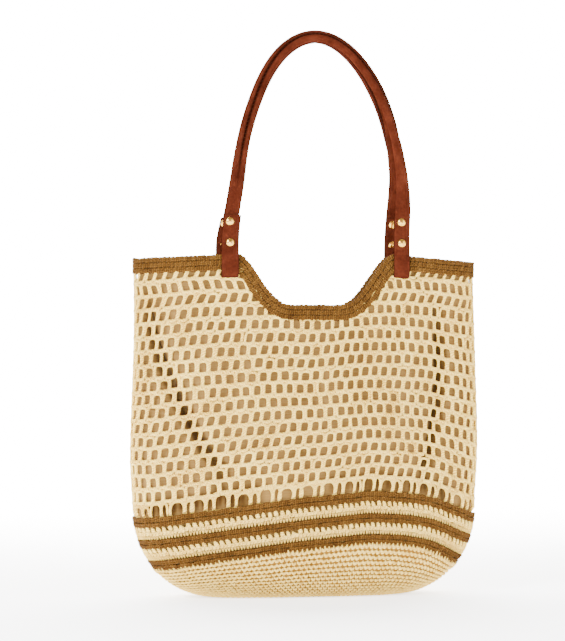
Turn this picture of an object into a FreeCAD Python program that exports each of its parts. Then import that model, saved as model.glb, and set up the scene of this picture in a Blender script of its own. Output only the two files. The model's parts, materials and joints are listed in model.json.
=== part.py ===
"""Crocheted beach bag with two folded leather handles, in millimetres.

The bag stands on the flat oval base with its middle over the origin: X runs across the
front, Y from front to rear, Z up. The front panel faces -Y. The wall is a stack of crochet
rounds, whose joints rise in an arch over the panel. Each handle is drawn upright in a frame
of its own, with the origin in the middle of its hinge line and +Y towards the bag, and is
then leaned inwards until it meets the other handle.
"""
import FreeCAD, Part
import math
import os

SIZES = {
    # the bag's outer surface, as plan ovals at a few heights
    "base_half_length": 100.0,
    "base_half_depth": 26.0,
    "bulge_height": 94.0,
    "bulge_half_width": 186.0,
    "bulge_half_depth": 50.0,
    "belly_height": 150.0,
    "belly_half_width": 188.0,
    "belly_half_depth": 52.0,
    "mouth_half_width": 185.0,
    "mouth_half_depth": 27.0,
    "plan_exponent": 2.8,
    # layers
    "wall_thickness": 4.0,
    "base_thickness": 4.0,
    "base_patch_height": 9.0,
    "rim_outward": 1.0,
    "rim_inward": 0.5,
    "lining_gap": 1.4,
    "lining_thickness": 0.8,
    # the top edge, with its dip between two ears
    "ear_height": 366.0,
    "ear_half_spacing": 76.0,
    "ear_round": 21.0,
    "side_drop": 5.0,
    "dip_depth": 54.0,
    "dip_floor_half_width": 42.0,
    "dip_round": 30.0,
    "rim_round_height": 6.0,
    "panel_shift": 8.0,
    # joints between the crochet rounds, at the crown of their arch
    "row_arch_reach": 620.0,
    "row_arch_shift": 12.0,
    "stripe_lower_bottom": 58.5,
    "stripe_lower_top": 68.5,
    "stripe_middle_bottom": 81.0,
    "stripe_middle_top": 90.5,
    "stripe_upper_bottom": 103.5,
    "stripe_upper_top": 114.0,
    "arch_round_top": 128.5,
    # leather plies and the loops under the rim
    "ply_thickness": 3.0,
    "ply_width": 18.5,
    "ply_clearance": 0.4,
    "loop_depth": 8.0,
    "slot_ease": 1.2,
    "hinge_rise": 2.4,
    "hinge_gap": 0.6,
    "fold_run": 4.0,
    "tab_height": 38.0,
    # handles
    "handle_half_spacing": 92.5,
    "handle_rise": 233.5,
    "grip_width": 13.0,
    "grip_thickness": 10.0,
    "grip_corner": 3.5,
    "grip_gap": 1.0,
    "seam_width": 1.6,
    "seam_height": 0.5,
    # rivets
    "rivet_first_height": 9.0,
    "rivet_pitch": 22.5,
    "rivet_cap_across": 9.0,
    "rivet_cap_height": 2.2,
    "rivet_back_height": 1.0,
    "rivet_post_across": 3.4,
    "rivet_hole_ease": 0.1,
}

OUTLINE_POINTS = 32

doc = FreeCAD.newDocument("beach_bag")
sheet = doc.addObject("Spreadsheet::Sheet", "Sizes")
for row, (alias, number) in enumerate(SIZES.items(), start=1):
    sheet.set(f"A{row}", alias)
    sheet.set(f"B{row}", str(number))
    sheet.setAlias(f"B{row}", alias)
doc.recompute()

nodes = []


def size(alias):
    """Returns a driving dimension from the sheet."""
    return float(getattr(sheet, alias))


def bind(thing, **formulas):
    """Ties properties to the sheet. Words in a formula that name a size get their prefix."""
    for prop, formula in formulas.items():
        words = [f"Sizes.{word}" if word in SIZES else word for word in formula.split()]
        thing.setExpression(prop, " ".join(words))
    return thing


def add(kind, name, **formulas):
    """Adds a parametric object whose sizes are bound to the sheet."""
    return bind(doc.addObject(kind, name), **formulas)


def fixed_shape(name, shape):
    """Adds a shape that no primitive gives, already worked out from the sheet."""
    thing = doc.addObject("Part::Feature", name)
    thing.Shape = shape
    return thing


def cut(name, base, tool):
    thing = doc.addObject("Part::Cut", name)
    thing.Base = base
    thing.Tool = tool
    return thing


def common(name, *shapes):
    thing = doc.addObject("Part::MultiCommon", name)
    thing.Shapes = list(shapes)
    return thing


def fuse(name, *shapes):
    thing = doc.addObject("Part::MultiFuse", name)
    thing.Shapes = list(shapes)
    return thing


def extrude_along(name, outline, direction, formula):
    """Extrudes a closed outline evenly to both sides of its plane."""
    thing = add("Part::Extrusion", name, LengthFwd=formula)
    thing.Base = outline
    thing.DirMode = "Custom"
    thing.Dir = direction
    thing.Solid = True
    thing.Symmetric = True
    return thing


def publish(thing, label, placement=None):
    """Marks an object as a finished sub-part with its own name and place."""
    thing.Label = label
    if placement is not None:
        thing.Placement = placement
    nodes.append(thing)
    return thing


# ---------------------------------------------------------------- the bag's surfaces

def plan_oval(name, half_width, half_depth, height):
    """A plan section: a superellipse, flat along the panels and blunt at the gussets."""
    exponent = 2.0 / size("plan_exponent")
    points = []
    for step in range(OUTLINE_POINTS):
        turn = 2.0 * math.pi * step / OUTLINE_POINTS
        across, along = math.cos(turn), math.sin(turn)
        x = half_width * math.copysign(abs(across) ** exponent, across)
        y = half_depth * math.copysign(abs(along) ** exponent, along)
        points.append(FreeCAD.Vector(x, y, height))
    curve = Part.BSplineCurve()
    curve.interpolate(Points=points, PeriodicFlag=True)
    return fixed_shape(name, Part.Wire([curve.toShape()]))


def bag_loft(name, inset, lift):
    """The solid inside the bag's surface, drawn in by inset and raised by lift."""
    quarter_steps = (0.0, 0.3, 0.55, 0.8, 1.0)
    bulge = size("bulge_height")
    levels = []
    for step in quarter_steps:
        swell = math.sin(step * math.pi / 2.0)
        height = bulge * (1.0 - math.cos(step * math.pi / 2.0))
        half_width = size("base_half_length")
        half_width += (size("bulge_half_width") - half_width) * swell
        half_depth = size("base_half_depth")
        half_depth += (size("bulge_half_depth") - half_depth) * swell
        levels.append((half_width, half_depth, height))
    levels.append((size("belly_half_width"), size("belly_half_depth"), size("belly_height")))
    straight = size("ear_height") - size("dip_depth")
    middle = (size("belly_height") + straight) / 2.0
    middle_width = (size("belly_half_width") + size("mouth_half_width")) / 2.0
    middle_depth = 0.45 * size("belly_half_depth") + 0.55 * size("mouth_half_depth")
    levels.append((middle_width, middle_depth, middle))
    for share in (0.0, 0.5, 1.0, 1.5, 2.0):
        height = straight + share * size("dip_depth")
        levels.append((size("mouth_half_width"), size("mouth_half_depth"), height))
    sections = []
    for index, (half_width, half_depth, height) in enumerate(levels):
        section_name = f"{name}_section_{index}"
        section = plan_oval(section_name, half_width - inset, half_depth - inset, height + lift)
        sections.append(section)
    loft = doc.addObject("Part::Loft", name)
    loft.Sections = sections
    loft.Solid = True
    return loft


# Cutting shapes reach well past the bag on every side.
body_reach = 1.5 * max(size("belly_half_width"), size("ear_height"))
cut_span = 2.0 * body_reach

wall = size("wall_thickness")
lining_out = wall + size("lining_gap")
lining_in = lining_out + size("lining_thickness")

outer_skin = bag_loft("outer_skin", 0.0, 0.0)
inner_skin = bag_loft("inner_skin", wall, size("base_thickness"))
crochet_wall = cut("crochet_wall", outer_skin, inner_skin)

rim_outer = bag_loft("rim_outer", -size("rim_outward"), 0.0)
rim_inner = bag_loft("rim_inner", wall + size("rim_inward"), 0.0)
rim_wall = cut("rim_wall", rim_outer, rim_inner)

lining_outer = bag_loft("lining_outer", lining_out, lining_out)
lining_inner = bag_loft("lining_inner", lining_in, lining_in)
lining_wall = cut("lining_wall", lining_outer, lining_inner)


# ---------------------------------------------------------------- the top edge and its rounds

def rounded_outline(corners):
    """A closed wire through (x, z, radius) corners, with a tangent arc at each."""
    count = len(corners)
    edges = []
    start = None
    first = None
    for index in range(count):
        before = FreeCAD.Vector(corners[index - 1][0], 0.0, corners[index - 1][1])
        here = FreeCAD.Vector(corners[index][0], 0.0, corners[index][1])
        after_x, after_z, _ = corners[(index + 1) % count]
        after = FreeCAD.Vector(after_x, 0.0, after_z)
        radius = corners[index][2]
        to_before = (before - here).normalize()
        to_after = (after - here).normalize()
        if radius > 0.0:
            half_angle = to_before.getAngle(to_after) / 2.0
            reach = radius / math.tan(half_angle)
            arc_start = here + to_before * reach
            arc_end = here + to_after * reach
            towards = (to_before + to_after).normalize()
            middle = here + towards * (radius / math.sin(half_angle) - radius)
            if start is not None:
                edges.append(Part.LineSegment(start, arc_start).toShape())
            edges.append(Part.Arc(arc_start, middle, arc_end).toShape())
            start = arc_end
            first = first or arc_start
        else:
            if start is not None:
                edges.append(Part.LineSegment(start, here).toShape())
            start = here
            first = first or here
    edges.append(Part.LineSegment(start, first).toShape())
    return Part.Wire(edges)


def top_edge_outline():
    """Everything below the bag's top edge, seen from the front."""
    shift = size("panel_shift")
    ear_height = size("ear_height")
    dip_height = ear_height - size("dip_depth")
    side_height = ear_height - size("side_drop")
    ear = size("ear_half_spacing")
    floor_half = size("dip_floor_half_width")
    side = size("belly_half_width")
    low = -body_reach
    return rounded_outline([
        (-body_reach, low, 0.0),
        (-body_reach, side_height, 0.0),
        (-side, side_height, 0.0),
        (shift - ear, ear_height, size("ear_round")),
        (shift - floor_half, dip_height, size("dip_round")),
        (shift + floor_half, dip_height, size("dip_round")),
        (shift + ear, ear_height, size("ear_round")),
        (side, side_height, 0.0),
        (body_reach, side_height, 0.0),
        (body_reach, low, 0.0),
    ])


front_to_rear = FreeCAD.Vector(0.0, 1.0, 0.0)
top_edge = fixed_shape("top_edge", top_edge_outline())
below_rounds = [extrude_along("below_top", top_edge, front_to_rear, f"{cut_span}")]
for count in (1, 2, 3):
    inset_edge = doc.addObject("Part::Offset2D", f"top_edge_{count}")
    inset_edge.Source = top_edge
    bind(inset_edge, Value=f"-{count} * rim_round_height")
    below = extrude_along(f"below_round_{count}", inset_edge, front_to_rear, f"{cut_span}")
    below_rounds.append(below)

for index, label in enumerate(("rim_round_upper", "rim_round_middle", "rim_round_lower")):
    ring = common(f"{label}_ring", rim_wall, below_rounds[index])
    publish(cut(label, ring, below_rounds[index + 1]), label)


# ---------------------------------------------------------------- wall rounds

def below_joint(alias):
    """A wide disc standing on edge: its top is the arched joint between two rounds."""
    disc = add("Part::Cylinder", f"below_{alias}", Radius="row_arch_reach")
    disc.Height = cut_span
    disc.Placement.Rotation = FreeCAD.Rotation(FreeCAD.Vector(1.0, 0.0, 0.0), 90.0)
    disc.Placement.Base.y = cut_span / 2.0
    disc.setExpression("Placement.Base.x", "Sizes.row_arch_shift")
    disc.setExpression("Placement.Base.z", f"Sizes.{alias} - Sizes.row_arch_reach")
    return disc


patch_outline = plan_oval(
    "patch_outline", size("base_half_length"), size("base_half_depth"), 0.0
)
upward = FreeCAD.Vector(0.0, 0.0, 1.0)
base_patch = extrude_along("base_patch", patch_outline, upward, "2 * base_patch_height")
publish(common("oval_base", crochet_wall, base_patch), "oval_base")

ROUNDS = (
    ("stripe_lower", "stripe_lower_bottom", "stripe_lower_top"),
    ("cream_band_lower", "stripe_lower_top", "stripe_middle_bottom"),
    ("stripe_middle", "stripe_middle_bottom", "stripe_middle_top"),
    ("cream_band_upper", "stripe_middle_top", "stripe_upper_bottom"),
    ("stripe_upper", "stripe_upper_bottom", "stripe_upper_top"),
    ("arch_round", "stripe_upper_top", "arch_round_top"),
)
joints = {alias: below_joint(alias) for alias in sorted({a for r in ROUNDS for a in r[1:]})}

lower_ring = common("lower_ring", crochet_wall, joints["stripe_lower_bottom"])
publish(cut("lower_wall", lower_ring, base_patch), "lower_wall")
for label, bottom, top in ROUNDS:
    ring = common(f"{label}_ring", crochet_wall, joints[top])
    publish(cut(label, ring, joints[bottom]), label)


# ---------------------------------------------------------------- handle frames

def skin_depths(skin, x, low, high):
    """How far out a lofted skin lies at x, at several heights from low to high."""
    steps = 8
    depths = []
    for step in range(steps + 1):
        z = low + (high - low) * step / steps
        start, end = FreeCAD.Vector(x, -body_reach, z), FreeCAD.Vector(x, 0.0, z)
        inside = skin.Shape.common(Part.makeLine(start, end))
        depths.append(-inside.BoundBox.YMin)
    return depths


def loop_faces():
    """How far out the two plies' faces towards the rim are: (outer ply, inner ply)."""
    reach = size("ply_width") / 2.0
    near = size("handle_half_spacing") - size("panel_shift") - reach
    far = size("handle_half_spacing") + size("panel_shift") + reach
    top = size("ear_height")
    bottom = top - 3.0 * size("rim_round_height") - size("loop_depth")
    outside = max(skin_depths(rim_outer, near, bottom, top))
    inside = min(skin_depths(lining_inner, far, bottom, top))
    return outside + size("ply_clearance"), inside - size("ply_clearance")


doc.recompute()
ply = size("ply_thickness")
outer_face, inner_face = loop_faces()
hinge_depth = outer_face + ply
hinge_height = size("ear_height") + size("hinge_rise")
inner_start = hinge_depth - inner_face
stack = 2.0 * ply
grip_outer = (stack - size("grip_thickness")) / 2.0
grip_inner = grip_outer + size("grip_thickness")

# The handles lean until the grips' inner faces stand half the gap from the middle plane.
grip_top = size("handle_rise") + size("grip_width") / 2.0
lean_reach = math.hypot(grip_top, grip_inner)
lean = math.asin((hinge_depth - size("grip_gap") / 2.0) / lean_reach)
lean -= math.atan2(grip_inner, grip_top)


def handle_frame(facing):
    """Placement of the front (-1) or rear (+1) handle, leaned inwards on its hinge."""
    base = FreeCAD.Vector(size("panel_shift"), facing * hinge_depth, hinge_height)
    yaw = 0.0 if facing < 0 else 180.0
    return FreeCAD.Placement(base, FreeCAD.Rotation(yaw, 0.0, -math.degrees(lean)))


def loop_frame(facing, side):
    """Upright frame on the hinge line at one handle end. side is -1 left, +1 right."""
    x = size("panel_shift") + side * size("handle_half_spacing")
    base = FreeCAD.Vector(x, facing * hinge_depth, hinge_height)
    yaw = 0.0 if facing < 0 else 180.0
    return FreeCAD.Placement(base, FreeCAD.Rotation(yaw, 0.0, 0.0))


def side_profile(name, points):
    """A closed polygon in the YZ plane, extruded across one ply's width."""
    corners = [FreeCAD.Vector(0.0, y, z) for y, z in points]
    outline = fixed_shape(f"{name}_outline", Part.makePolygon(corners + corners[:1]))
    return extrude_along(name, outline, FreeCAD.Vector(1.0, 0.0, 0.0), "ply_width")


def shifted(thing, x):
    thing.Placement.Base.x = x
    return thing


# ---------------------------------------------------------------- loops, mesh and lining

loop_bottom = -size("hinge_rise") - 3.0 * size("rim_round_height") - size("loop_depth")
slot_tools = []


def loop(facing, side, label):
    """The strap end where it passes under the rim and comes up again inside the bag."""
    top = -size("hinge_gap")
    # the leaned handle's inner ply starts lower the further in it lies
    inner_top = top - (inner_start + ply) * math.tan(lean)
    points = [
        (0.0, top), (0.0, loop_bottom + ply), (ply, loop_bottom),
        (inner_start, loop_bottom), (inner_start + ply, loop_bottom + ply),
        (inner_start + ply, inner_top), (inner_start, inner_top),
        (inner_start, loop_bottom + ply), (ply, loop_bottom + ply), (ply, top),
    ]
    publish(side_profile(label, points), label, loop_frame(facing, side))


def slot(facing, side, name):
    """The opening that the loop passes through, up to the rim's lower edge."""
    ease = size("slot_ease")
    width = size("ply_width") + 2.0 * ease
    tool = doc.addObject("Part::Box", name)
    bind(tool, Length="ply_width + 2 * slot_ease")
    bind(tool, Height="loop_depth + 2 * slot_ease")
    tool.Width = hinge_depth
    offset = FreeCAD.Vector(-width / 2.0, 0.0, loop_bottom - ease)
    tool.Placement = loop_frame(facing, side).multiply(
        FreeCAD.Placement(offset, FreeCAD.Rotation())
    )
    slot_tools.append(tool)


for facing, panel in ((-1, "front"), (1, "rear")):
    for side, hand in ((-1, "left"), (1, "right")):
        # the rear frame is turned half round, so its own x runs the other way
        loop(facing, side, f"{panel}_{hand}_loop")
        slot(facing, side, f"{panel}_{hand}_slot")

slots = fuse("slots", *slot_tools)
mesh_ring = common("mesh_ring", crochet_wall, below_rounds[3])
mesh_above = cut("mesh_above", mesh_ring, joints["arch_round_top"])
publish(cut("mesh_body", mesh_above, slots), "mesh_body")

half_space = add("Part::Box", "front_half")
half_space.Length = cut_span
half_space.Width = cut_span / 2.0
half_space.Height = 2.0 * cut_span
half_space.Placement.Base = FreeCAD.Vector(-cut_span / 2.0, -cut_span / 2.0, -cut_span / 2.0)
lining_ring = common("lining_ring", lining_wall, below_rounds[1])
lining_bag = cut("lining_bag", lining_ring, slots)
publish(common("lining_front", lining_bag, half_space), "lining_front")
publish(cut("lining_rear", lining_bag, half_space), "lining_rear")


# ---------------------------------------------------------------- handles

def straight_ply(name, top):
    """The ply on the outside of the rim, straight up from the hinge gap."""
    bottom = size("hinge_gap")
    return side_profile(name, [(0.0, bottom), (ply, bottom), (ply, top), (0.0, top)])


def folded_ply(name, top):
    """The ply from inside the rim, which comes over the edge to lie on the other ply."""
    bottom = size("hinge_gap")
    run = size("fold_run")
    points = [
        (inner_start, bottom), (inner_start + ply, bottom),
        (inner_start + ply, bottom + 1.0), (stack, run + bottom), (stack, top),
        (ply, top), (ply, run - 0.4 * bottom),
    ]
    return side_profile(name, points)


def rivet_heights():
    first = size("rivet_first_height")
    return (("lower", first), ("upper", first + size("rivet_pitch")))


def through_pin(name, x, height, across, start, end):
    """A round pin along Y at one rivet, from y = start to y = end."""
    pin = doc.addObject("Part::Cylinder", name)
    pin.setExpression("Radius", across)
    pin.Height = end - start
    quarter_turn = FreeCAD.Rotation(FreeCAD.Vector(1.0, 0.0, 0.0), -90.0)
    pin.Placement = FreeCAD.Placement(FreeCAD.Vector(x, start, height), quarter_turn)
    return pin


def rivet_holes(name, x):
    """Both holes at one handle end, through the whole stack of leather."""
    radius = "Sizes.rivet_post_across / 2 + Sizes.rivet_hole_ease"
    tools = []
    for level, height in rivet_heights():
        tool = through_pin(f"{name}_{level}", x, height, radius, -stack, 2.0 * stack)
        tools.append(tool)
    return fuse(name, *tools)


def domed_cap(name, x, height, outward):
    """A shallow dome on the leather's outer (-1) or inner (+1) face, and its placement."""
    rise = size("rivet_cap_height") if outward < 0 else size("rivet_back_height")
    half = size("rivet_cap_across") / 2.0
    radius = (half ** 2 + rise ** 2) / (2.0 * rise)
    dome = doc.addObject("Part::Sphere", name)
    dome.Radius = radius
    dome.Angle1 = math.degrees(math.asin((radius - rise) / radius))
    dome.Angle2 = 90.0
    face = 0.0 if outward < 0 else stack
    centre = FreeCAD.Vector(x, face - outward * (radius - rise), height)
    turn = FreeCAD.Rotation(FreeCAD.Vector(1.0, 0.0, 0.0), -90.0 * outward)
    dome.Placement = FreeCAD.Placement(centre, turn)
    return dome


def rivets(end, x, frame):
    """Two rivets: a domed cap outside, and a post with its back cap inside."""
    for level, height in rivet_heights():
        label = f"{end}_rivet_{level}"
        cap = domed_cap(f"{label}_dome", x, height, -1)
        publish(cap, f"{label}_cap", frame.multiply(cap.Placement))
        across = "Sizes.rivet_post_across / 2"
        shank = through_pin(f"{label}_shank", x, height, across, 0.0, stack)
        back = domed_cap(f"{label}_back", x, height, 1)
        publish(fuse(f"{label}_post_blank", shank, back), f"{label}_post", frame)


def grip_ring(name, half_width_formula, rise_formula, thickness_formula):
    """A full oval disc in the handle's plane, of the given half axes."""
    rise = "handle_rise - tab_height" + rise_formula
    spread = "handle_half_spacing" + half_width_formula
    outline = add("Part::Ellipse", f"{name}_outline", MajorRadius=rise, MinorRadius=spread)
    upright = FreeCAD.Matrix(0, 1, 0, 0, 0, 0, 1, 0, 1, 0, 0, 0, 0, 0, 0, 1)
    outline.Placement = FreeCAD.Placement(upright)
    disc = extrude_along(name, outline, front_to_rear, thickness_formula)
    return disc


def grip(panel):
    """The rolled middle of the strap: half an oval hoop, its edges rounded."""
    half = " + grip_width / 2"
    outer_disc = grip_ring(f"{panel}_hoop_outer", half, half, "grip_thickness")
    inner_half = " - grip_width / 2"
    inner_disc = grip_ring(f"{panel}_hoop_inner", inner_half, inner_half, "2 * grip_thickness")
    ring = cut(f"{panel}_hoop_ring", outer_disc, inner_disc)
    below = add("Part::Box", f"{panel}_hoop_below")
    below.Length = cut_span
    below.Width = cut_span
    below.Height = cut_span
    below.Placement.Base = FreeCAD.Vector(-cut_span / 2.0, -cut_span / 2.0, -cut_span)
    hoop = cut(f"{panel}_hoop", ring, below)
    doc.recompute()
    rounded = doc.addObject("Part::Fillet", f"{panel}_hoop_rounded")
    rounded.Base = hoop
    radius = size("grip_corner")
    edges = []
    for number, edge in enumerate(hoop.Shape.Edges, start=1):
        if edge.BoundBox.YLength < 0.01 and edge.BoundBox.ZLength > 1.0:
            edges.append((number, radius, radius))
    rounded.Edges = edges
    rounded.Placement.Base.y = (grip_outer + grip_inner) / 2.0
    rounded.Placement.Base.z = size("tab_height") + size("grip_gap")
    return rounded


def seam(panel, seam_side):
    """The sewn edge that runs along the middle of the grip's seam face."""
    half = " + seam_width / 2"
    outer_disc = grip_ring(f"{panel}_seam_outer", half, half, "seam_height")
    inner_half = " - seam_width / 2"
    inner_disc = grip_ring(f"{panel}_seam_inner", inner_half, inner_half, "2 * seam_height")
    ring = cut(f"{panel}_seam_ring", outer_disc, inner_disc)
    below = doc.getObject(f"{panel}_hoop_below")
    thread = cut(f"{panel}_seam_half", ring, below)
    face = grip_outer if seam_side < 0 else grip_inner
    reach = face + seam_side * size("seam_height") / 2.0
    offset = FreeCAD.Vector(0.0, reach, size("tab_height") + size("grip_gap"))
    return thread, FreeCAD.Placement(offset, FreeCAD.Rotation())


for facing, panel in ((-1, "front"), (1, "rear")):
    frame = handle_frame(facing)
    tab_top = size("tab_height")
    strap_top = tab_top + 3.0 * size("grip_gap")
    strap_pieces = [grip(panel)]
    hole_tools = []
    # The tab lies outside at one end of the strap and inside at the other.
    for side, hand in ((-1, "left"), (1, "right")):
        own_side = side * -facing
        x = own_side * size("handle_half_spacing")
        end = f"{panel}_{hand}"
        holes = rivet_holes(f"{end}_holes", x)
        hole_tools.append(holes)
        if side < 0:
            tab = straight_ply(f"{end}_tab_blank", tab_top)
            strap_end = folded_ply(f"{end}_strap_end", strap_top)
        else:
            tab = folded_ply(f"{end}_tab_blank", tab_top)
            strap_end = straight_ply(f"{end}_strap_end", strap_top)
        strap_pieces.append(shifted(strap_end, x))
        publish(cut(f"{end}_tab", shifted(tab, x), holes), f"{end}_tab", frame)
        rivets(end, x, frame)
    blank = fuse(f"{panel}_strap_blank", *strap_pieces)
    holes = fuse(f"{panel}_holes", *hole_tools)
    publish(cut(f"{panel}_handle_strap", blank, holes), f"{panel}_handle_strap", frame)
    # The front grip shows its seam outwards, the rear grip inwards.
    thread, offset = seam(panel, -1 if facing < 0 else 1)
    publish(thread, f"{panel}_handle_seam", frame.multiply(offset))


# ---------------------------------------------------------------- check and write

doc.recompute()
for thing in doc.Objects:
    if "Invalid" in thing.State or "Error" in thing.State:
        raise RuntimeError(f"{thing.Name} failed: {thing.State}")
for thing in nodes:
    shape = thing.Shape
    if shape.isNull() or not shape.isValid() or not shape.Solids:
        raise RuntimeError(f"{thing.Label} has no valid solid")

os.makedirs("parts", exist_ok=True)
for thing in nodes:
    thing.Shape.exportStep(f"parts/{thing.Label}.step")
print(f"{len(nodes)} sub-parts written")
print(f"hinge lines at y {-hinge_depth:.2f} and {hinge_depth:.2f}, z {hinge_height:.2f}")
print(f"handles lean {math.degrees(lean):.2f} degrees")
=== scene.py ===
"""A crocheted beach bag with riveted leather handles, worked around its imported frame.

The bag's wall is one smooth surface, BagForm, on which every crochet round is laid. A stitch
is modelled flat from plump yarn beads, copied along its round and then wrapped onto that
surface. Flat work is measured in metres: x runs along a round, y up it and z outwards.
"""
from __future__ import annotations

import json
import logging
import math
from dataclasses import dataclass, field
from enum import Enum

import bpy
import numpy as np
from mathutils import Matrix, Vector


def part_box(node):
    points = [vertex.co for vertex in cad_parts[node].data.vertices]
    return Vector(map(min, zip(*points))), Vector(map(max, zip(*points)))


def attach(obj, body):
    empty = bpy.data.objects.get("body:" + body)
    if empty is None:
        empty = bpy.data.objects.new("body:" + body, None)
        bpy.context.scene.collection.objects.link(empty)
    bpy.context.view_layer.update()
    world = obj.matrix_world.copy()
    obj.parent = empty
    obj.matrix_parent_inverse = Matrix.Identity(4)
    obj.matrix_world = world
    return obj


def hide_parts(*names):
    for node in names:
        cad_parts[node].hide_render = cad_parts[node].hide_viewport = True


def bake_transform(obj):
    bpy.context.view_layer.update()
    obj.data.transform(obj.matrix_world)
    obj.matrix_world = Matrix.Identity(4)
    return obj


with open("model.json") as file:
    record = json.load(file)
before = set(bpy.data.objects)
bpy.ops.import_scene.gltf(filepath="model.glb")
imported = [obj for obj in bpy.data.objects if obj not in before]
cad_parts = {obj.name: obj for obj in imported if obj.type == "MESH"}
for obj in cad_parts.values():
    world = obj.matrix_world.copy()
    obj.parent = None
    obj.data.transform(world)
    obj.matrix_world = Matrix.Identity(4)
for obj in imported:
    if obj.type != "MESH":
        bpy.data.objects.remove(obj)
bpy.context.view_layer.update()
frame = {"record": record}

log = logging.getLogger("beach_bag")

MM = 0.001
QUARTER = math.pi / 2.0
YARN_PITCH = 3.2
REAR_DIP_SHIFT = 4.5 * MM


# ------------------------------------------------------------------ small helpers

def smooth_step(value: np.ndarray | float) -> np.ndarray | float:
    """Returns the usual eased step from 0 at 0 to 1 at 1."""
    t = np.clip(value, 0.0, 1.0)
    return t * t * (3.0 - 2.0 * t)


def blend_between(low: float, high: float, share: np.ndarray | float) -> np.ndarray | float:
    """Returns the eased mix of two values."""
    return low + (high - low) * smooth_step(share)


def unit(vectors: np.ndarray) -> np.ndarray:
    """Returns vectors of length one along the last axis."""
    return vectors / np.maximum(np.linalg.norm(vectors, axis=-1, keepdims=True), 1e-12)


def deselect_all() -> None:
    """Leaves nothing selected, so that the next operator touches only new work."""
    bpy.ops.object.select_all(action="DESELECT")


def node_box(name: str) -> tuple[np.ndarray, np.ndarray]:
    """Returns a CAD node's lowest and highest corners at rest."""
    low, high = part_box(name)
    return np.array(low), np.array(high)


# ------------------------------------------------------------------ finishes

class Nodes:
    """A material's node tree, with short calls for the nodes that the finishes share."""

    def __init__(self, name: str) -> None:
        """Starts an empty Principled material.

        Args:
            name: The material's name.
        """
        self.material = bpy.data.materials.new(name)
        self.material.use_nodes = True
        self.tree = self.material.node_tree
        self.shader = self.tree.nodes["Principled BSDF"]

    def add(self, kind: str, **settings: object) -> bpy.types.Node:
        """Adds a node and sets its properties and its numbered or named inputs.

        Args:
            kind: The node's type.
            settings: Properties, or values of inputs with _ for a space.

        Returns:
            The new node.
        """
        node = self.tree.nodes.new(kind)
        for key, value in settings.items():
            if hasattr(node, key):
                setattr(node, key, value)
            else:
                node.inputs[key.replace("_", " ")].default_value = value
        return node

    def link(self, source: bpy.types.NodeSocket, target: bpy.types.NodeSocket) -> None:
        """Joins an output to an input."""
        self.tree.links.new(source, target)

    def math(self, operation: str, first: object, second: object) -> bpy.types.NodeSocket:
        """Adds a math node on sockets or plain numbers and returns its output.

        Args:
            operation: The node's operation.
            first: A socket or a number.
            second: A socket or a number.

        Returns:
            The node's output.
        """
        node = self.add("ShaderNodeMath", operation=operation)
        for slot, value in enumerate((first, second)):
            if isinstance(value, bpy.types.NodeSocket):
                self.link(value, node.inputs[slot])
            else:
                node.inputs[slot].default_value = value
        return node.outputs[0]

    def noise(self, coords: bpy.types.NodeSocket, scale: float, detail: float,
              rough: float = 0.5) -> bpy.types.NodeSocket:
        """Adds a noise texture and returns its value.

        Args:
            coords: Where the texture is read.
            scale: Its scale.
            detail: Its detail.
            rough: Its roughness.

        Returns:
            The noise's value.
        """
        node = self.add("ShaderNodeTexNoise", Scale=scale, Detail=detail, Roughness=rough)
        self.link(coords, node.inputs["Vector"])
        return node.outputs["Fac"]

    def ramp(self, value: bpy.types.NodeSocket,
             stops: list[tuple[float, tuple[float, float, float]]]) -> bpy.types.NodeSocket:
        """Adds a colour ramp through the given stops and returns its colour.

        Args:
            value: The number that picks the colour.
            stops: Each stop's place and colour.

        Returns:
            The colour.
        """
        node = self.add("ShaderNodeValToRGB")
        elements = node.color_ramp.elements
        while len(elements) < len(stops):
            elements.new(0.5)
        for element, (place, colour) in zip(elements, stops):
            element.position = place
            element.color = (*colour, 1.0)
        self.link(value, node.inputs[0])
        return node.outputs[0]

    def mix(self, share: object, first: object, second: object) -> bpy.types.NodeSocket:
        """Mixes two colours and returns the result.

        Args:
            share: How much of the second colour.
            first: A socket or a colour.
            second: A socket or a colour.

        Returns:
            The mixed colour.
        """
        node = self.add("ShaderNodeMix", data_type="RGBA")
        for slot, value in ((0, share), (6, first), (7, second)):
            if isinstance(value, bpy.types.NodeSocket):
                self.link(value, node.inputs[slot])
            elif isinstance(value, tuple):
                node.inputs[slot].default_value = (*value, 1.0)
            else:
                node.inputs[slot].default_value = value
        return node.outputs[2]

    def bump(self, height: bpy.types.NodeSocket, distance: float, strength: float = 1.0,
             under: bpy.types.NodeSocket | None = None) -> bpy.types.NodeSocket:
        """Adds a bump node over an optional one below it and returns its normal.

        Args:
            height: The height that makes the relief.
            distance: Its depth in metres.
            strength: How strongly it shows.
            under: The normal of a bump below it.

        Returns:
            The bumped normal.
        """
        node = self.add("ShaderNodeBump", Strength=strength, Distance=distance)
        self.link(height, node.inputs["Height"])
        if under is not None:
            self.link(under, node.inputs["Normal"])
        return node.outputs[0]

    def finish(self, colour: bpy.types.NodeSocket, rough: bpy.types.NodeSocket | float,
               normal: bpy.types.NodeSocket, **fixed: float) -> bpy.types.Material:
        """Wires colour, roughness and normal to the shader and sets its fixed values.

        Args:
            colour: The base colour.
            rough: The roughness, a socket or a number.
            normal: The bumped normal.
            fixed: Other inputs of the shader, with _ for a space.

        Returns:
            The finished material.
        """
        self.link(colour, self.shader.inputs["Base Color"])
        if isinstance(rough, bpy.types.NodeSocket):
            self.link(rough, self.shader.inputs["Roughness"])
        else:
            self.shader.inputs["Roughness"].default_value = rough
        self.link(normal, self.shader.inputs["Normal"])
        for key, value in fixed.items():
            self.shader.inputs[key.replace("_", " ")].default_value = value
        return self.material


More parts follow.
